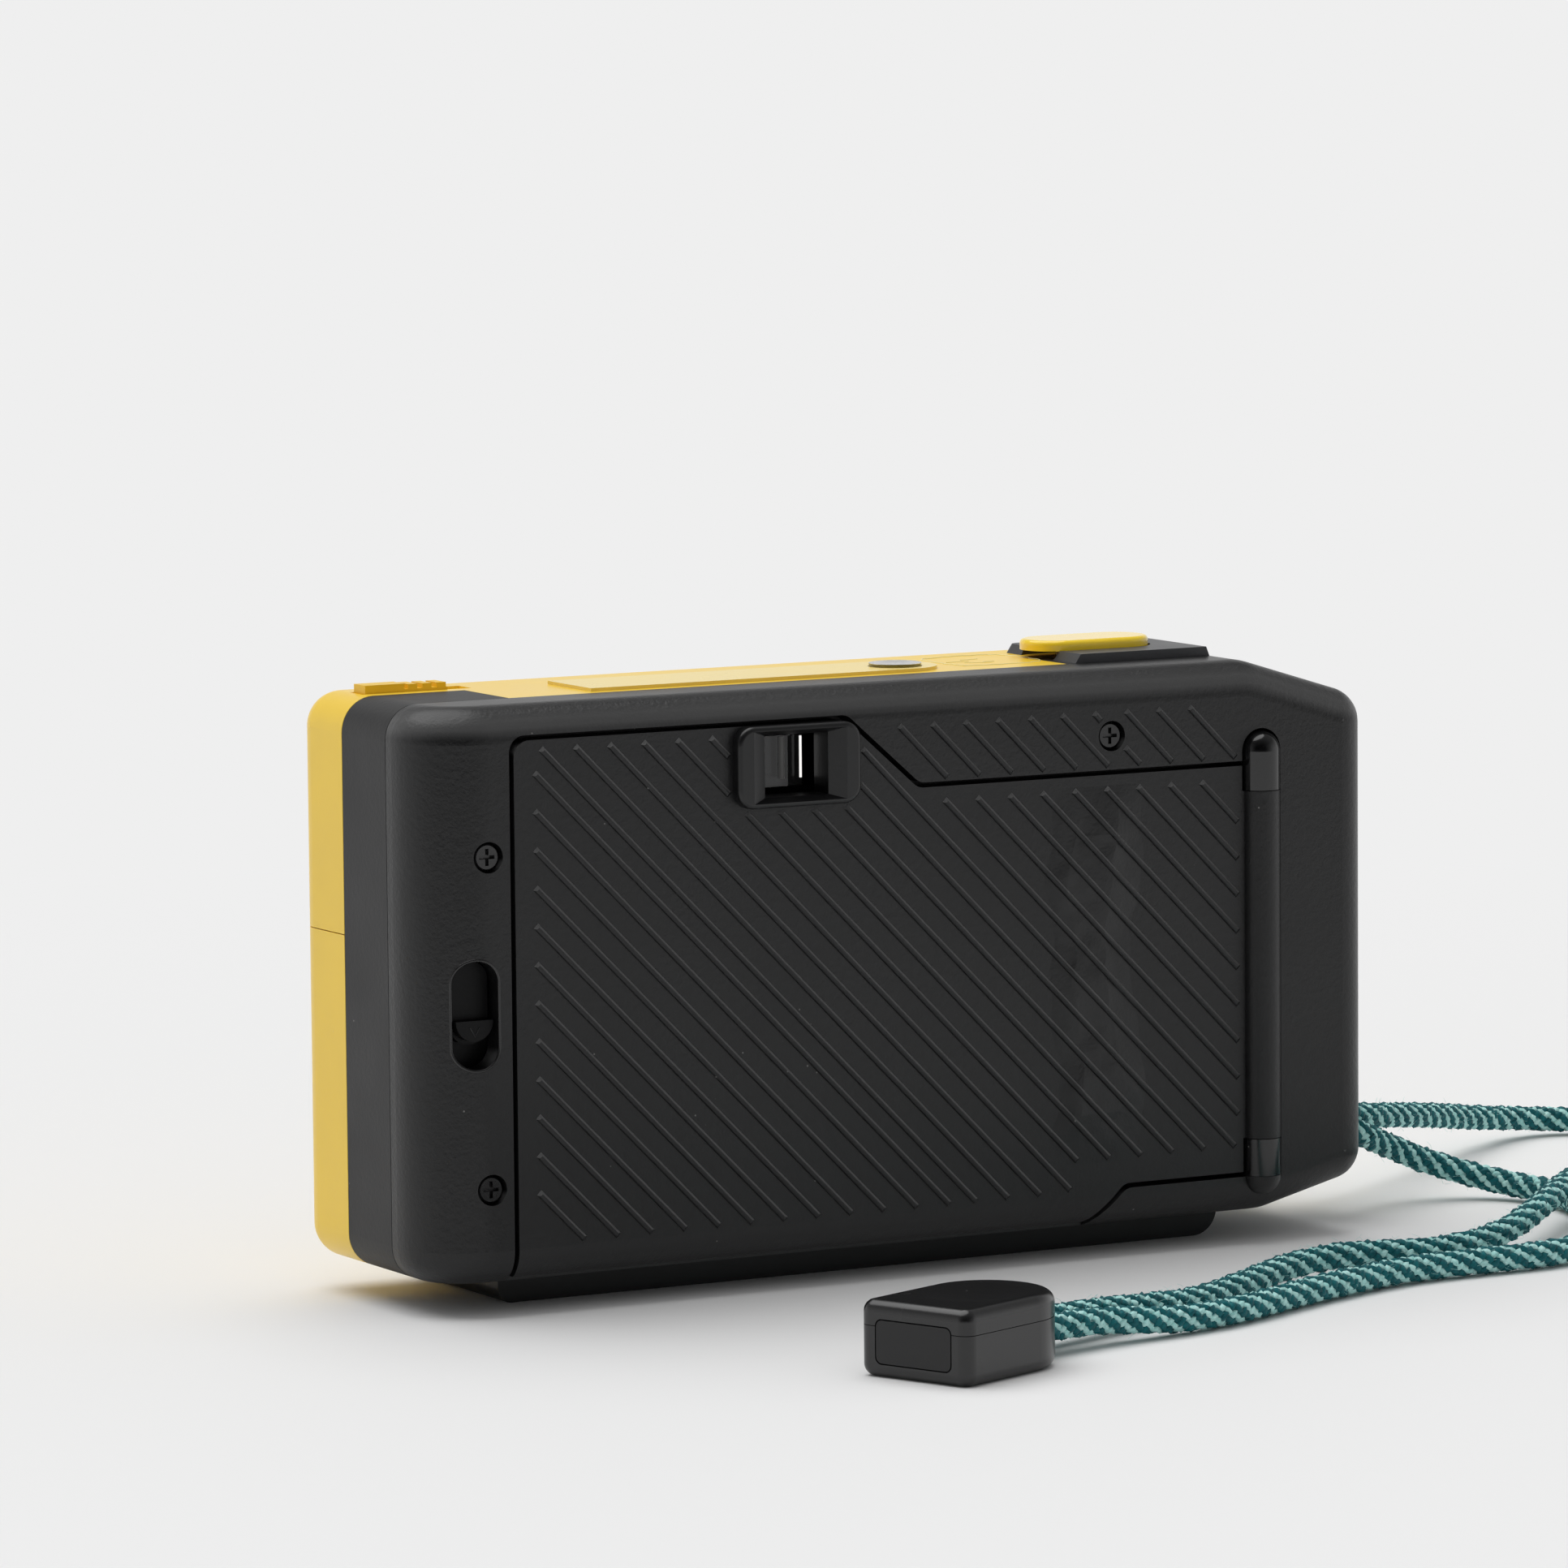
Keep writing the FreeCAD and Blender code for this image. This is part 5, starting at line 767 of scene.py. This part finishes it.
@dataclass
class BraidedCord:
    """A round braid of crossing yarns over a core, along one route.

    Attributes:
        name: what its pieces' names start with.
        node: the CAD node that it stands for.
        route: the points that it follows, in millimetres.
        pale: the material of the pale yarns.
        dark: the material of the dark yarns.
        filler: the material of the core.
        radius: the cord's own radius.
        core: the core's radius.
        ends: how many yarns wind each way.
        slope: the angle between a yarn and the cord.
        yarn: a yarn's radius, before its share.
        pale_share: what a pale yarn has of that radius.
        dark_share: what a dark yarn has of that radius.
        lift: how far a yarn rises and sinks at the crossings.
        crest: how round the rise is, 1 for a plain wave and less for a flatter top.
        steps: the points of a yarn between two crossings.
        fibre: a stray fibre's radius.
        fibre_gap: the cord's length for each stray fibre.
        fibre_reach: the shortest and longest reach of a stray fibre, in millimetres.
        fibre_root: how deep in the cord a stray fibre starts.
    """

    name: str
    node: str
    route: list[tuple[float, float, float]]
    pale: bpy.types.Material
    dark: bpy.types.Material
    filler: bpy.types.Material
    radius: float = 1.7 * MM
    core: float = 1.2 * MM
    ends: int = 8
    slope: float = math.radians(38.0)
    yarn: float = 0.5 * MM
    pale_share: float = 0.93
    dark_share: float = 1.14
    lift: float = 0.3 * MM
    crest: float = 0.7
    steps: int = 4
    fibre: float = 0.014 * MM
    fibre_gap: float = 0.55 * MM
    fibre_reach: tuple[float, float] = (0.3, 0.9)
    fibre_root: float = 0.25 * MM

    def spine(self) -> bpy.types.Object:
        """The core: one open spline along the route."""
        data = bpy.data.curves.new(self.name + "_core", "CURVE")
        data.dimensions = "3D"
        data.resolution_u = 16
        spline = data.splines.new("NURBS")
        spline.points.add(len(self.route) - 1)
        for point, (x, y, z) in zip(spline.points, self.route):
            point.co = (x * MM, y * MM, z * MM, 1.0)
        spline.order_u = 3
        spline.use_endpoint_u = True
        core = bpy.data.objects.new(self.name + "_core", data)
        bpy.context.scene.collection.objects.link(core)
        return core

    def line(self, core: bpy.types.Object) -> Line:
        """The spline's own points, read while the core has no thickness."""
        bpy.context.view_layer.update()
        mesh = bpy.data.meshes.new_from_object(core)
        points = [vertex.co.copy() for vertex in mesh.vertices]
        bpy.data.meshes.remove(mesh)
        return Line(points)

    def yarn_points(self, line: Line, hand: Hand, number: int) -> list[Vector]:
        """One yarn's points, over one crossing and under the next.

        Args:
            line: the cord's smooth line.
            hand: which way the yarn winds.
            number: its place round the cord.

        Returns:
            The points along it.
        """
        rate = math.tan(self.slope) / self.radius
        crossing = math.pi / (self.ends * rate)
        step = crossing / self.steps
        middle = self.radius - self.yarn - self.lift
        start = 2 * math.pi * number / self.ends
        points = []
        found = 0
        for place in range(int(line.length / step) + 1):
            run = place * step
            turn = start + hand.value * rate * run
            centre, first, second, found = line.at(run, found)
            other = (turn + hand.value * rate * run) * self.ends / (2 * math.pi)
            wave = math.cos(math.pi * (other + number + (hand is Hand.LEFT)))
            out = middle + self.lift * math.copysign(abs(wave) ** self.crest, wave)
            points.append(centre + (first * math.cos(turn) + second * math.sin(turn)) * out)
        return points

    def yarns(self, line: Line, name: str, colour: bpy.types.Material, odd: int) -> bpy.types.Object:
        """Every yarn of one colour, wound both ways.

        Args:
            line: the cord's smooth line.
            name: the piece's name.
            colour: the yarn's material.
            odd: 1 for the pale yarns, in the odd places, and 0 for the dark ones.

        Returns:
            The piece.
        """
        share = self.pale_share if odd else self.dark_share
        data = round_beads(name, self.yarn * share, 0)
        for hand in Hand:
            for number in range(self.ends):
                if (number + (hand is Hand.LEFT)) % 2 == odd:
                    add_line(data, self.yarn_points(line, hand, number))
        return placed_mesh(name, data, colour)

    def fuzz(self, line: Line, name: str, colour: bpy.types.Material) -> bpy.types.Object:
        """Stray fibres that have worked loose from the yarns."""
        draw = random.Random(len(self.route))
        data = round_beads(name, self.fibre, 0)
        count = int(line.length / self.fibre_gap)
        starts = sorted(draw.uniform(0.02, 0.98) * line.length for _ in range(count))
        found = 0
        for run in starts:
            centre, first, second, found = line.at(run, found)
            turn = draw.uniform(0, 2 * math.pi)
            out = first * math.cos(turn) + second * math.sin(turn)
            along = first.cross(second).normalized() * draw.choice((-1, 1))
            reach = draw.uniform(*self.fibre_reach) * MM
            root = centre + out * (self.radius - self.fibre_root)
            points = []
            for share in (0, 1 / 3, 2 / 3, 1):
                bend = draw.uniform(0.6, 1.6)
                where = root + out * (reach * share) + along * (reach * share * share * bend)
                where.z = max(where.z, 0.05 * MM)
                points.append(where)
            add_line(data, points)
        return placed_mesh(name, data, colour)

    def build(self, with_pieces: list[bpy.types.Object]) -> None:
        """Core and yarns, riding on the camera body in place of the hidden CAD cord."""
        core = self.spine()
        line = self.line(core)
        dark = self.yarns(line, self.name + "_dark_yarns", self.dark, 0)
        pale = self.yarns(line, self.name + "_pale_yarns", self.pale, 1)
        core.data.bevel_depth = self.core
        core.data.bevel_resolution = 3
        core.data.use_fill_caps = True
        core.data.materials.append(self.filler)
        loose = self.fuzz(line, self.name + "_stray_fibres", self.pale)
        for piece in (core, dark, pale, loose):
            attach(piece, "camera")
        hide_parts(self.node)
        LOG.info("%s: %.1f mm long", self.name, line.length / MM)


class Strap:
    """Both cords of the strap and the block that joins their ends."""

    def build(self) -> None:
        """Lays the cords and dresses the block."""
        # Each yarn's darker colour is painted shade between its fibres, mixed with tone that differs at
        # random.
        pale = Yarn("pale yarn", paint(206, 244, 240), paint(138, 208, 204)).made()
        dark = Yarn("dark yarn", paint(0, 112, 118), paint(0, 66, 74)).made()
        filler = Yarn("cord core", paint(2, 52, 60), paint(0, 34, 42)).made()
        block = [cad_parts[name] for name in ("fob_body", "fob_lid", "fob_end_panel")]
        outer = BraidedCord("outer_cord", "strap_cord_outer", LUG_LOOP + OUTER_ROUTE, pale, dark, filler)
        outer.build(block)
        inner = BraidedCord("inner_cord", "strap_cord_inner", INNER_ROUTE, pale, dark, filler)
        inner.build([])
        black = Moulding("fob black", paint(20, 20, 21), rough=0.24, grain=0.25, depth=0.1, specular=0.6)
        dress(black, "fob_body", "fob_lid")
        panel = Moulding("fob panel", paint(22, 22, 23), rough=0.45, grain=0.2, depth=0.1, specular=0.45)
        dress(panel, "fob_end_panel")


# Camera body


class Housing:
    """The shells, the film door and what is fastened to them from outside."""

    def build(self) -> None:
        """Dresses the outside of the camera body."""
        yellow = paint(244, 204, 58)
        shell = Moulding("yellow shell", yellow, rough=0.3, depth=0.08, scratches=0.15, dust=0.2)
        dress(shell, "front_shell_upper", "front_shell_lower")
        band = Moulding("middle band", paint(26, 26, 27), depth=0.35, specular=0.4)
        dress(band, "middle_band", "strap_lug")
        # The rear frame and the film door get a painted highlight on their upper slopes, such as the ribs'
        # upper sides.
        back = Moulding("rear frame", paint(15, 15, 16), 0.36, 0.32, 0.6, specular=0.45, wear_and_painted_highlight=0.28)
        dress(back, "rear_frame")
        door = Moulding(
            "film door", paint(18, 18, 19), rough=0.4, depth=0.55, specular=0.45, warped=True, wear_and_painted_highlight=0.4
        )
        dress(door, "film_door")
        hinge = Moulding("hinge black", paint(10, 10, 11), rough=0.15, depth=0.05, specular=0.6)
        dress(hinge, "hinge_knuckle_upper", "hinge_knuckle_lower")
        eyepiece = Moulding("eyepiece black", paint(18, 18, 19), rough=0.3, depth=0.15, specular=0.45)
        dress(eyepiece, "eyepiece_frame")
        latch = Moulding("latch black", paint(8, 8, 9), rough=0.45, depth=0.15, specular=0.2)
        dress(latch, "door_latch")
        screw = Moulding("screw black", paint(12, 12, 13), 0.22, 0.2, 0.1, scratches=0.6, specular=0.6)
        dress(screw, "rear_screws")
        foot = Moulding("foot black", paint(14, 14, 15), rough=0.4, depth=0.2, specular=0.4)
        dress(foot, "foot_plate", "battery_door")
        soften(0.7 * MM, "shutter_bezel")
        dress(Moulding("bezel grey", paint(58, 59, 62), rough=0.4, depth=0.2), "shutter_bezel")
        button = Moulding("button yellow", paint(255, 216, 46), 0.18, 0.4, 0.02, 0.1, dust=0.1, coat=0.3)
        dress(button, "shutter_button")
        switch = Moulding("switch yellow", paint(240, 196, 34), 0.4, depth=0.05, scratches=0.1, dust=0.1)
        dress(switch, "flash_switch")
        label = Moulding("label yellow", paint(240, 212, 104), 0.28, 0.5, 0.02, 0.2, dust=0.2, coat=0.15)
        dress(label, "label_plate")


@dataclass(frozen=True)
class Bead:
    """A thin round bead along some points, riding on a body.

    Attributes:
        name: the piece's name.
        points: the points that it runs through; more than three make a closed ring.
        radius: its radius.
        body: the body that it moves with.
        stuff: the material slot that it belongs to; not used.
    """

    name: str
    points: list[Vector]
    radius: float
    body: str
    stuff: str

    def build(self, material: bpy.types.Material) -> None:
        """Draws the bead in a material."""
        closed = len(self.points) > 3
        data = round_beads(self.name, self.radius, 2)
        data.use_fill_caps = not closed
        add_line(data, self.points, closed)
        piece = placed_mesh(self.name, data, material)
        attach(piece, self.body)


@dataclass
class LatchMarks:
    """The raised lip round the latch slot, and the small arrow moulded on the latch's grip.

    Attributes:
        slot_x: the middle of the latch slot, across.
        slot_half: half the slot's width.
        slot_low: the height where its lower round end starts.
        slot_high: the height where its upper round end starts.
        column_x: the middle of the back's rounded column, across.
        column_y: how far back that middle is.
        column_round: the column's radius.
        lip: the lip's radius.
        lip_sunk: how much of that radius lies below the surface.
        lip_points: the points round the lip.
        arrow_half: half the arrow's width.
        arrow_base: the height of its two upper corners.
        arrow_tip: the height of its tip.
        arrow_rise: how far it stands off the grip.
        arrow_line: the radius of its line.
    """

    slot_x: float = 58.35 * MM
    slot_half: float = 2.75 * MM
    slot_low: float = 32.35 * MM
    slot_high: float = 39.75 * MM
    column_x: float = 56.5 * MM
    column_y: float = 10.1 * MM
    column_round: float = 8.5 * MM
    lip: float = 0.2 * MM
    lip_sunk: float = 0.4
    lip_points: int = 48
    arrow_half: float = 0.6 * MM
    arrow_base: float = 34.6 * MM
    arrow_tip: float = 33.5 * MM
    arrow_rise: float = 0.02 * MM
    arrow_line: float = 0.07 * MM

    def back_surface(self, across: float) -> float:
        """How far back the rear frame's rounded column is at a place across."""
        aside = max(0.0, across - self.column_x)
        return self.column_y + math.sqrt(self.column_round**2 - aside**2)

    def slot_lip(self) -> Bead:
        """The raised lip round the latch slot."""
        reach = self.slot_half + self.lip / 2
        points = []
        for number in range(self.lip_points):
            turn = 2 * math.pi * number / self.lip_points
            level = self.slot_high if turn < math.pi else self.slot_low
            across = self.slot_x + reach * math.cos(turn)
            back = self.back_surface(across) - self.lip * self.lip_sunk
            points.append(Vector((across, back, level + reach * math.sin(turn))))
        return Bead("latch_slot_lip", points, self.lip, "camera", "frame_plastic")

    def arrow(self) -> Bead:
        """The small arrow on the latch's grip."""
        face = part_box("door_latch")[1].y + self.arrow_rise
        points = [
            Vector((self.slot_x + self.arrow_half, face, self.arrow_base)),
            Vector((self.slot_x, face, self.arrow_tip)),
            Vector((self.slot_x - self.arrow_half, face, self.arrow_base)),
        ]
        return Bead("latch_arrow", points, self.arrow_line, "door_latch", "switch_black")

    def build(self) -> None:
        """Adds the lip and the arrow."""
        black = Moulding("lip black", paint(16, 16, 17), rough=0.28, depth=0.1, specular=0.6).made()
        self.slot_lip().build(black)
        self.arrow().build(black)


@dataclass(frozen=True)
class PaintedFinderGlint:
    """A glowing upright strip inside the finder: a painted glint, standing in for light caught on an edge.

    Attributes:
        name: what its piece's name starts with.
        across: where it is, across.
        radius: half its width.
        painted_glow: how strongly the painted glint glows.
        low: the height of its lower end.
        high: the height of its upper end.
        before_lens: how far it stands behind the eye lens, towards the eye.
    """

    name: str
    across: float
    radius: float
    painted_glow: float
    low: float = 61.0 * MM
    high: float = 66.0 * MM
    before_lens: float = 0.05 * MM

    def build(self) -> None:
        """Adds the painted glint."""
        material, net, shader = material_net(self.name + " painted finder glint")
        clouds = net.noise(net.spot(), 300.0)
        net.feed(shader.inputs["Base Color"], paint(20, 20, 20))
        net.feed(shader.inputs["Roughness"], net.span(clouds, 0.3, 0.7, 0.3, 0.5))
        # Painted glint: the strip glows, though nothing there is a lamp.
        net.feed(shader.inputs["Emission Color"], (1.0, 0.99, 0.97, 1.0))
        net.feed(shader.inputs["Emission Strength"], self.painted_glow)
        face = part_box("finder_eye_lens")[1].y + self.before_lens
        points = [Vector((self.across, face, height)) for height in (self.low, self.high)]
        Bead(self.name + "_painted_finder_glint", points, self.radius, "camera", "lens_glass").build(material)


@dataclass
class TornFilm:
    """What is left of a clear film stuck on the top face: its edge and a few creases.

    Attributes:
        middle_x: its middle, across.
        middle_y: how far back that middle is.
        top: the height of the top face, with the film's own thickness.
        half: half its width.
        corners: how square its outline is, from 0 for round to 1 for square.
        tear: how much shorter and longer the edge reaches where it is torn.
        edge_points: the points round its edge.
        edge_line: the radius of the edge's bead.
        creases: how many creases it has.
        crease_area: how far from its middle a crease can start, in millimetres.
        crease_line: the radius of a crease's bead.
        seed: what the random draws start from.
    """

    middle_x: float = -21.4 * MM
    middle_y: float = -1.6 * MM
    top: float = 72.02 * MM
    half: float = 6.3 * MM
    corners: float = 0.6
    tear: tuple[float, float] = (0.94, 1.06)
    edge_points: int = 40
    edge_line: float = 0.06 * MM
    creases: int = 4
    crease_area: float = 4
    crease_line: float = 0.04 * MM
    seed: int = 7

    def edge(self, draw: random.Random) -> Bead:
        """The film's torn edge."""
        points = []
        for number in range(self.edge_points):
            turn = 2 * math.pi * number / self.edge_points
            across, along = math.cos(turn), math.sin(turn)
            reach = self.half * draw.uniform(*self.tear) / max(abs(across), abs(along)) ** self.corners
            points.append(Vector((self.middle_x + reach * across, self.middle_y + reach * along, self.top)))
        return Bead("film_edge", points, self.edge_line, "camera", "clear_label")

    def crease(self, draw: random.Random, number: int) -> Bead:
        """One short bent crease."""
        across = self.middle_x + draw.uniform(-self.crease_area, self.crease_area) * MM
        along = self.middle_y + draw.uniform(-self.crease_area, self.crease_area) * MM
        start = Vector((across, along, self.top))
        middle = start + Vector((draw.uniform(1, 2), draw.uniform(-0.6, 0.6), 0)) * MM
        end = middle + Vector((draw.uniform(0.6, 1.6), draw.uniform(-1, 1), 0)) * MM
        return Bead(f"film_crease_{number}", [start, middle, end], self.crease_line, "camera", "clear_label")

    def build(self) -> None:
        """Adds the edge and the creases."""
        draw = random.Random(self.seed)
        pale = Moulding("film edge", paint(250, 238, 176), 0.15, 0.5, 0.02, 0.1, dust=0.1, coat=0.6).made()
        self.edge(draw).build(pale)
        for number in range(self.creases):
            self.crease(draw, number).build(pale)


class Works:
    """Film path, optics, flash and battery parts, most of them seen only with a door open."""

    def build(self) -> None:
        """Dresses the inside pieces."""
        dress(
            Metal("bright steel", (0.62, 0.61, 0.6, 1.0), rough=0.28),
            "hinge_pin",
            "pressure_plate",
            "pressure_spring",
            "tripod_bush",
            "battery_contacts",
            "battery_springs",
            "latch_spring",
            "shutter_button_spring",
            "cassette_contacts",
            "gear_bridge",
        )
        dress(
            Moulding("inner black", paint(28, 28, 29), rough=0.55, depth=0.2),
            "film_chassis",
            "battery_shelf",
            "lens_barrel",
            "lens_surround",
            "shutter_plate",
            "rewind_fork",
            "take_up_spool",
            "light_seals",
            "shutter_blade_left",
            "shutter_blade_right",
        )
        dress(
            Moulding("gear white", paint(228, 226, 216), rough=0.4, grain=0.4, depth=0.05),
            "reduction_gear",
            "motor_pinion",
            "film_sprocket",
            "frame_counter_dial",
        )
        dress(Metal("motor can", (0.5, 0.5, 0.5, 1.0), rough=0.35), "drive_motor")
        cells = Moulding("cell wrap", paint(90, 92, 96), rough=0.3, grain=0.6, depth=0.02)
        dress(cells, "batteries")
        capacitor = Moulding("capacitor wrap", paint(30, 34, 60), rough=0.3, grain=0.6, depth=0.02)
        dress(capacitor, "flash_capacitor")
        board = Moulding("board green", paint(30, 84, 52), rough=0.45, grain=0.5, depth=0.1)
        dress(board, "circuit_board")
        dress(Metal("reflector", (0.85, 0.85, 0.84, 1.0), rough=0.12), "flash_reflector")
        dress(
            Clear("lens glass", (0.95, 0.97, 1.0, 1.0), rough=0.02, index=1.52),
            "finder_front_window",
            "lens_front_element",
            "lens_rear_element",
            "flash_tube",
            "counter_window",
            "flash_window",
        )
        # Painted shade: the eye lens is tinted dark grey for the dim inside of the finder.
        dress(Clear("eye lens", (0.3, 0.31, 0.32, 1.0), rough=0.01), "finder_eye_lens")
        tube = Moulding("finder black", paint(3, 3, 3), rough=0.9, depth=0.02, specular=0.02)
        dress(tube, "finder_tube")


def main() -> None:
    """Builds the scene."""
    logging.basicConfig(level=logging.INFO, format="%(message)s")
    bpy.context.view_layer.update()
    Studio().build()
    Strap().build()
    Housing().build()
    Works().build()
    LatchMarks().build()
    # Two painted glints inside the finder, a bright one and a dull one, standing in for light caught on its
    # edges.
    PaintedFinderGlint("bright", 12.7 * MM, 0.16 * MM, 0.95).build()
    PaintedFinderGlint("dull", 15.3 * MM, 0.4 * MM, 0.035).build()
    TornFilm().build()


if __name__ == "__main__":
    main()
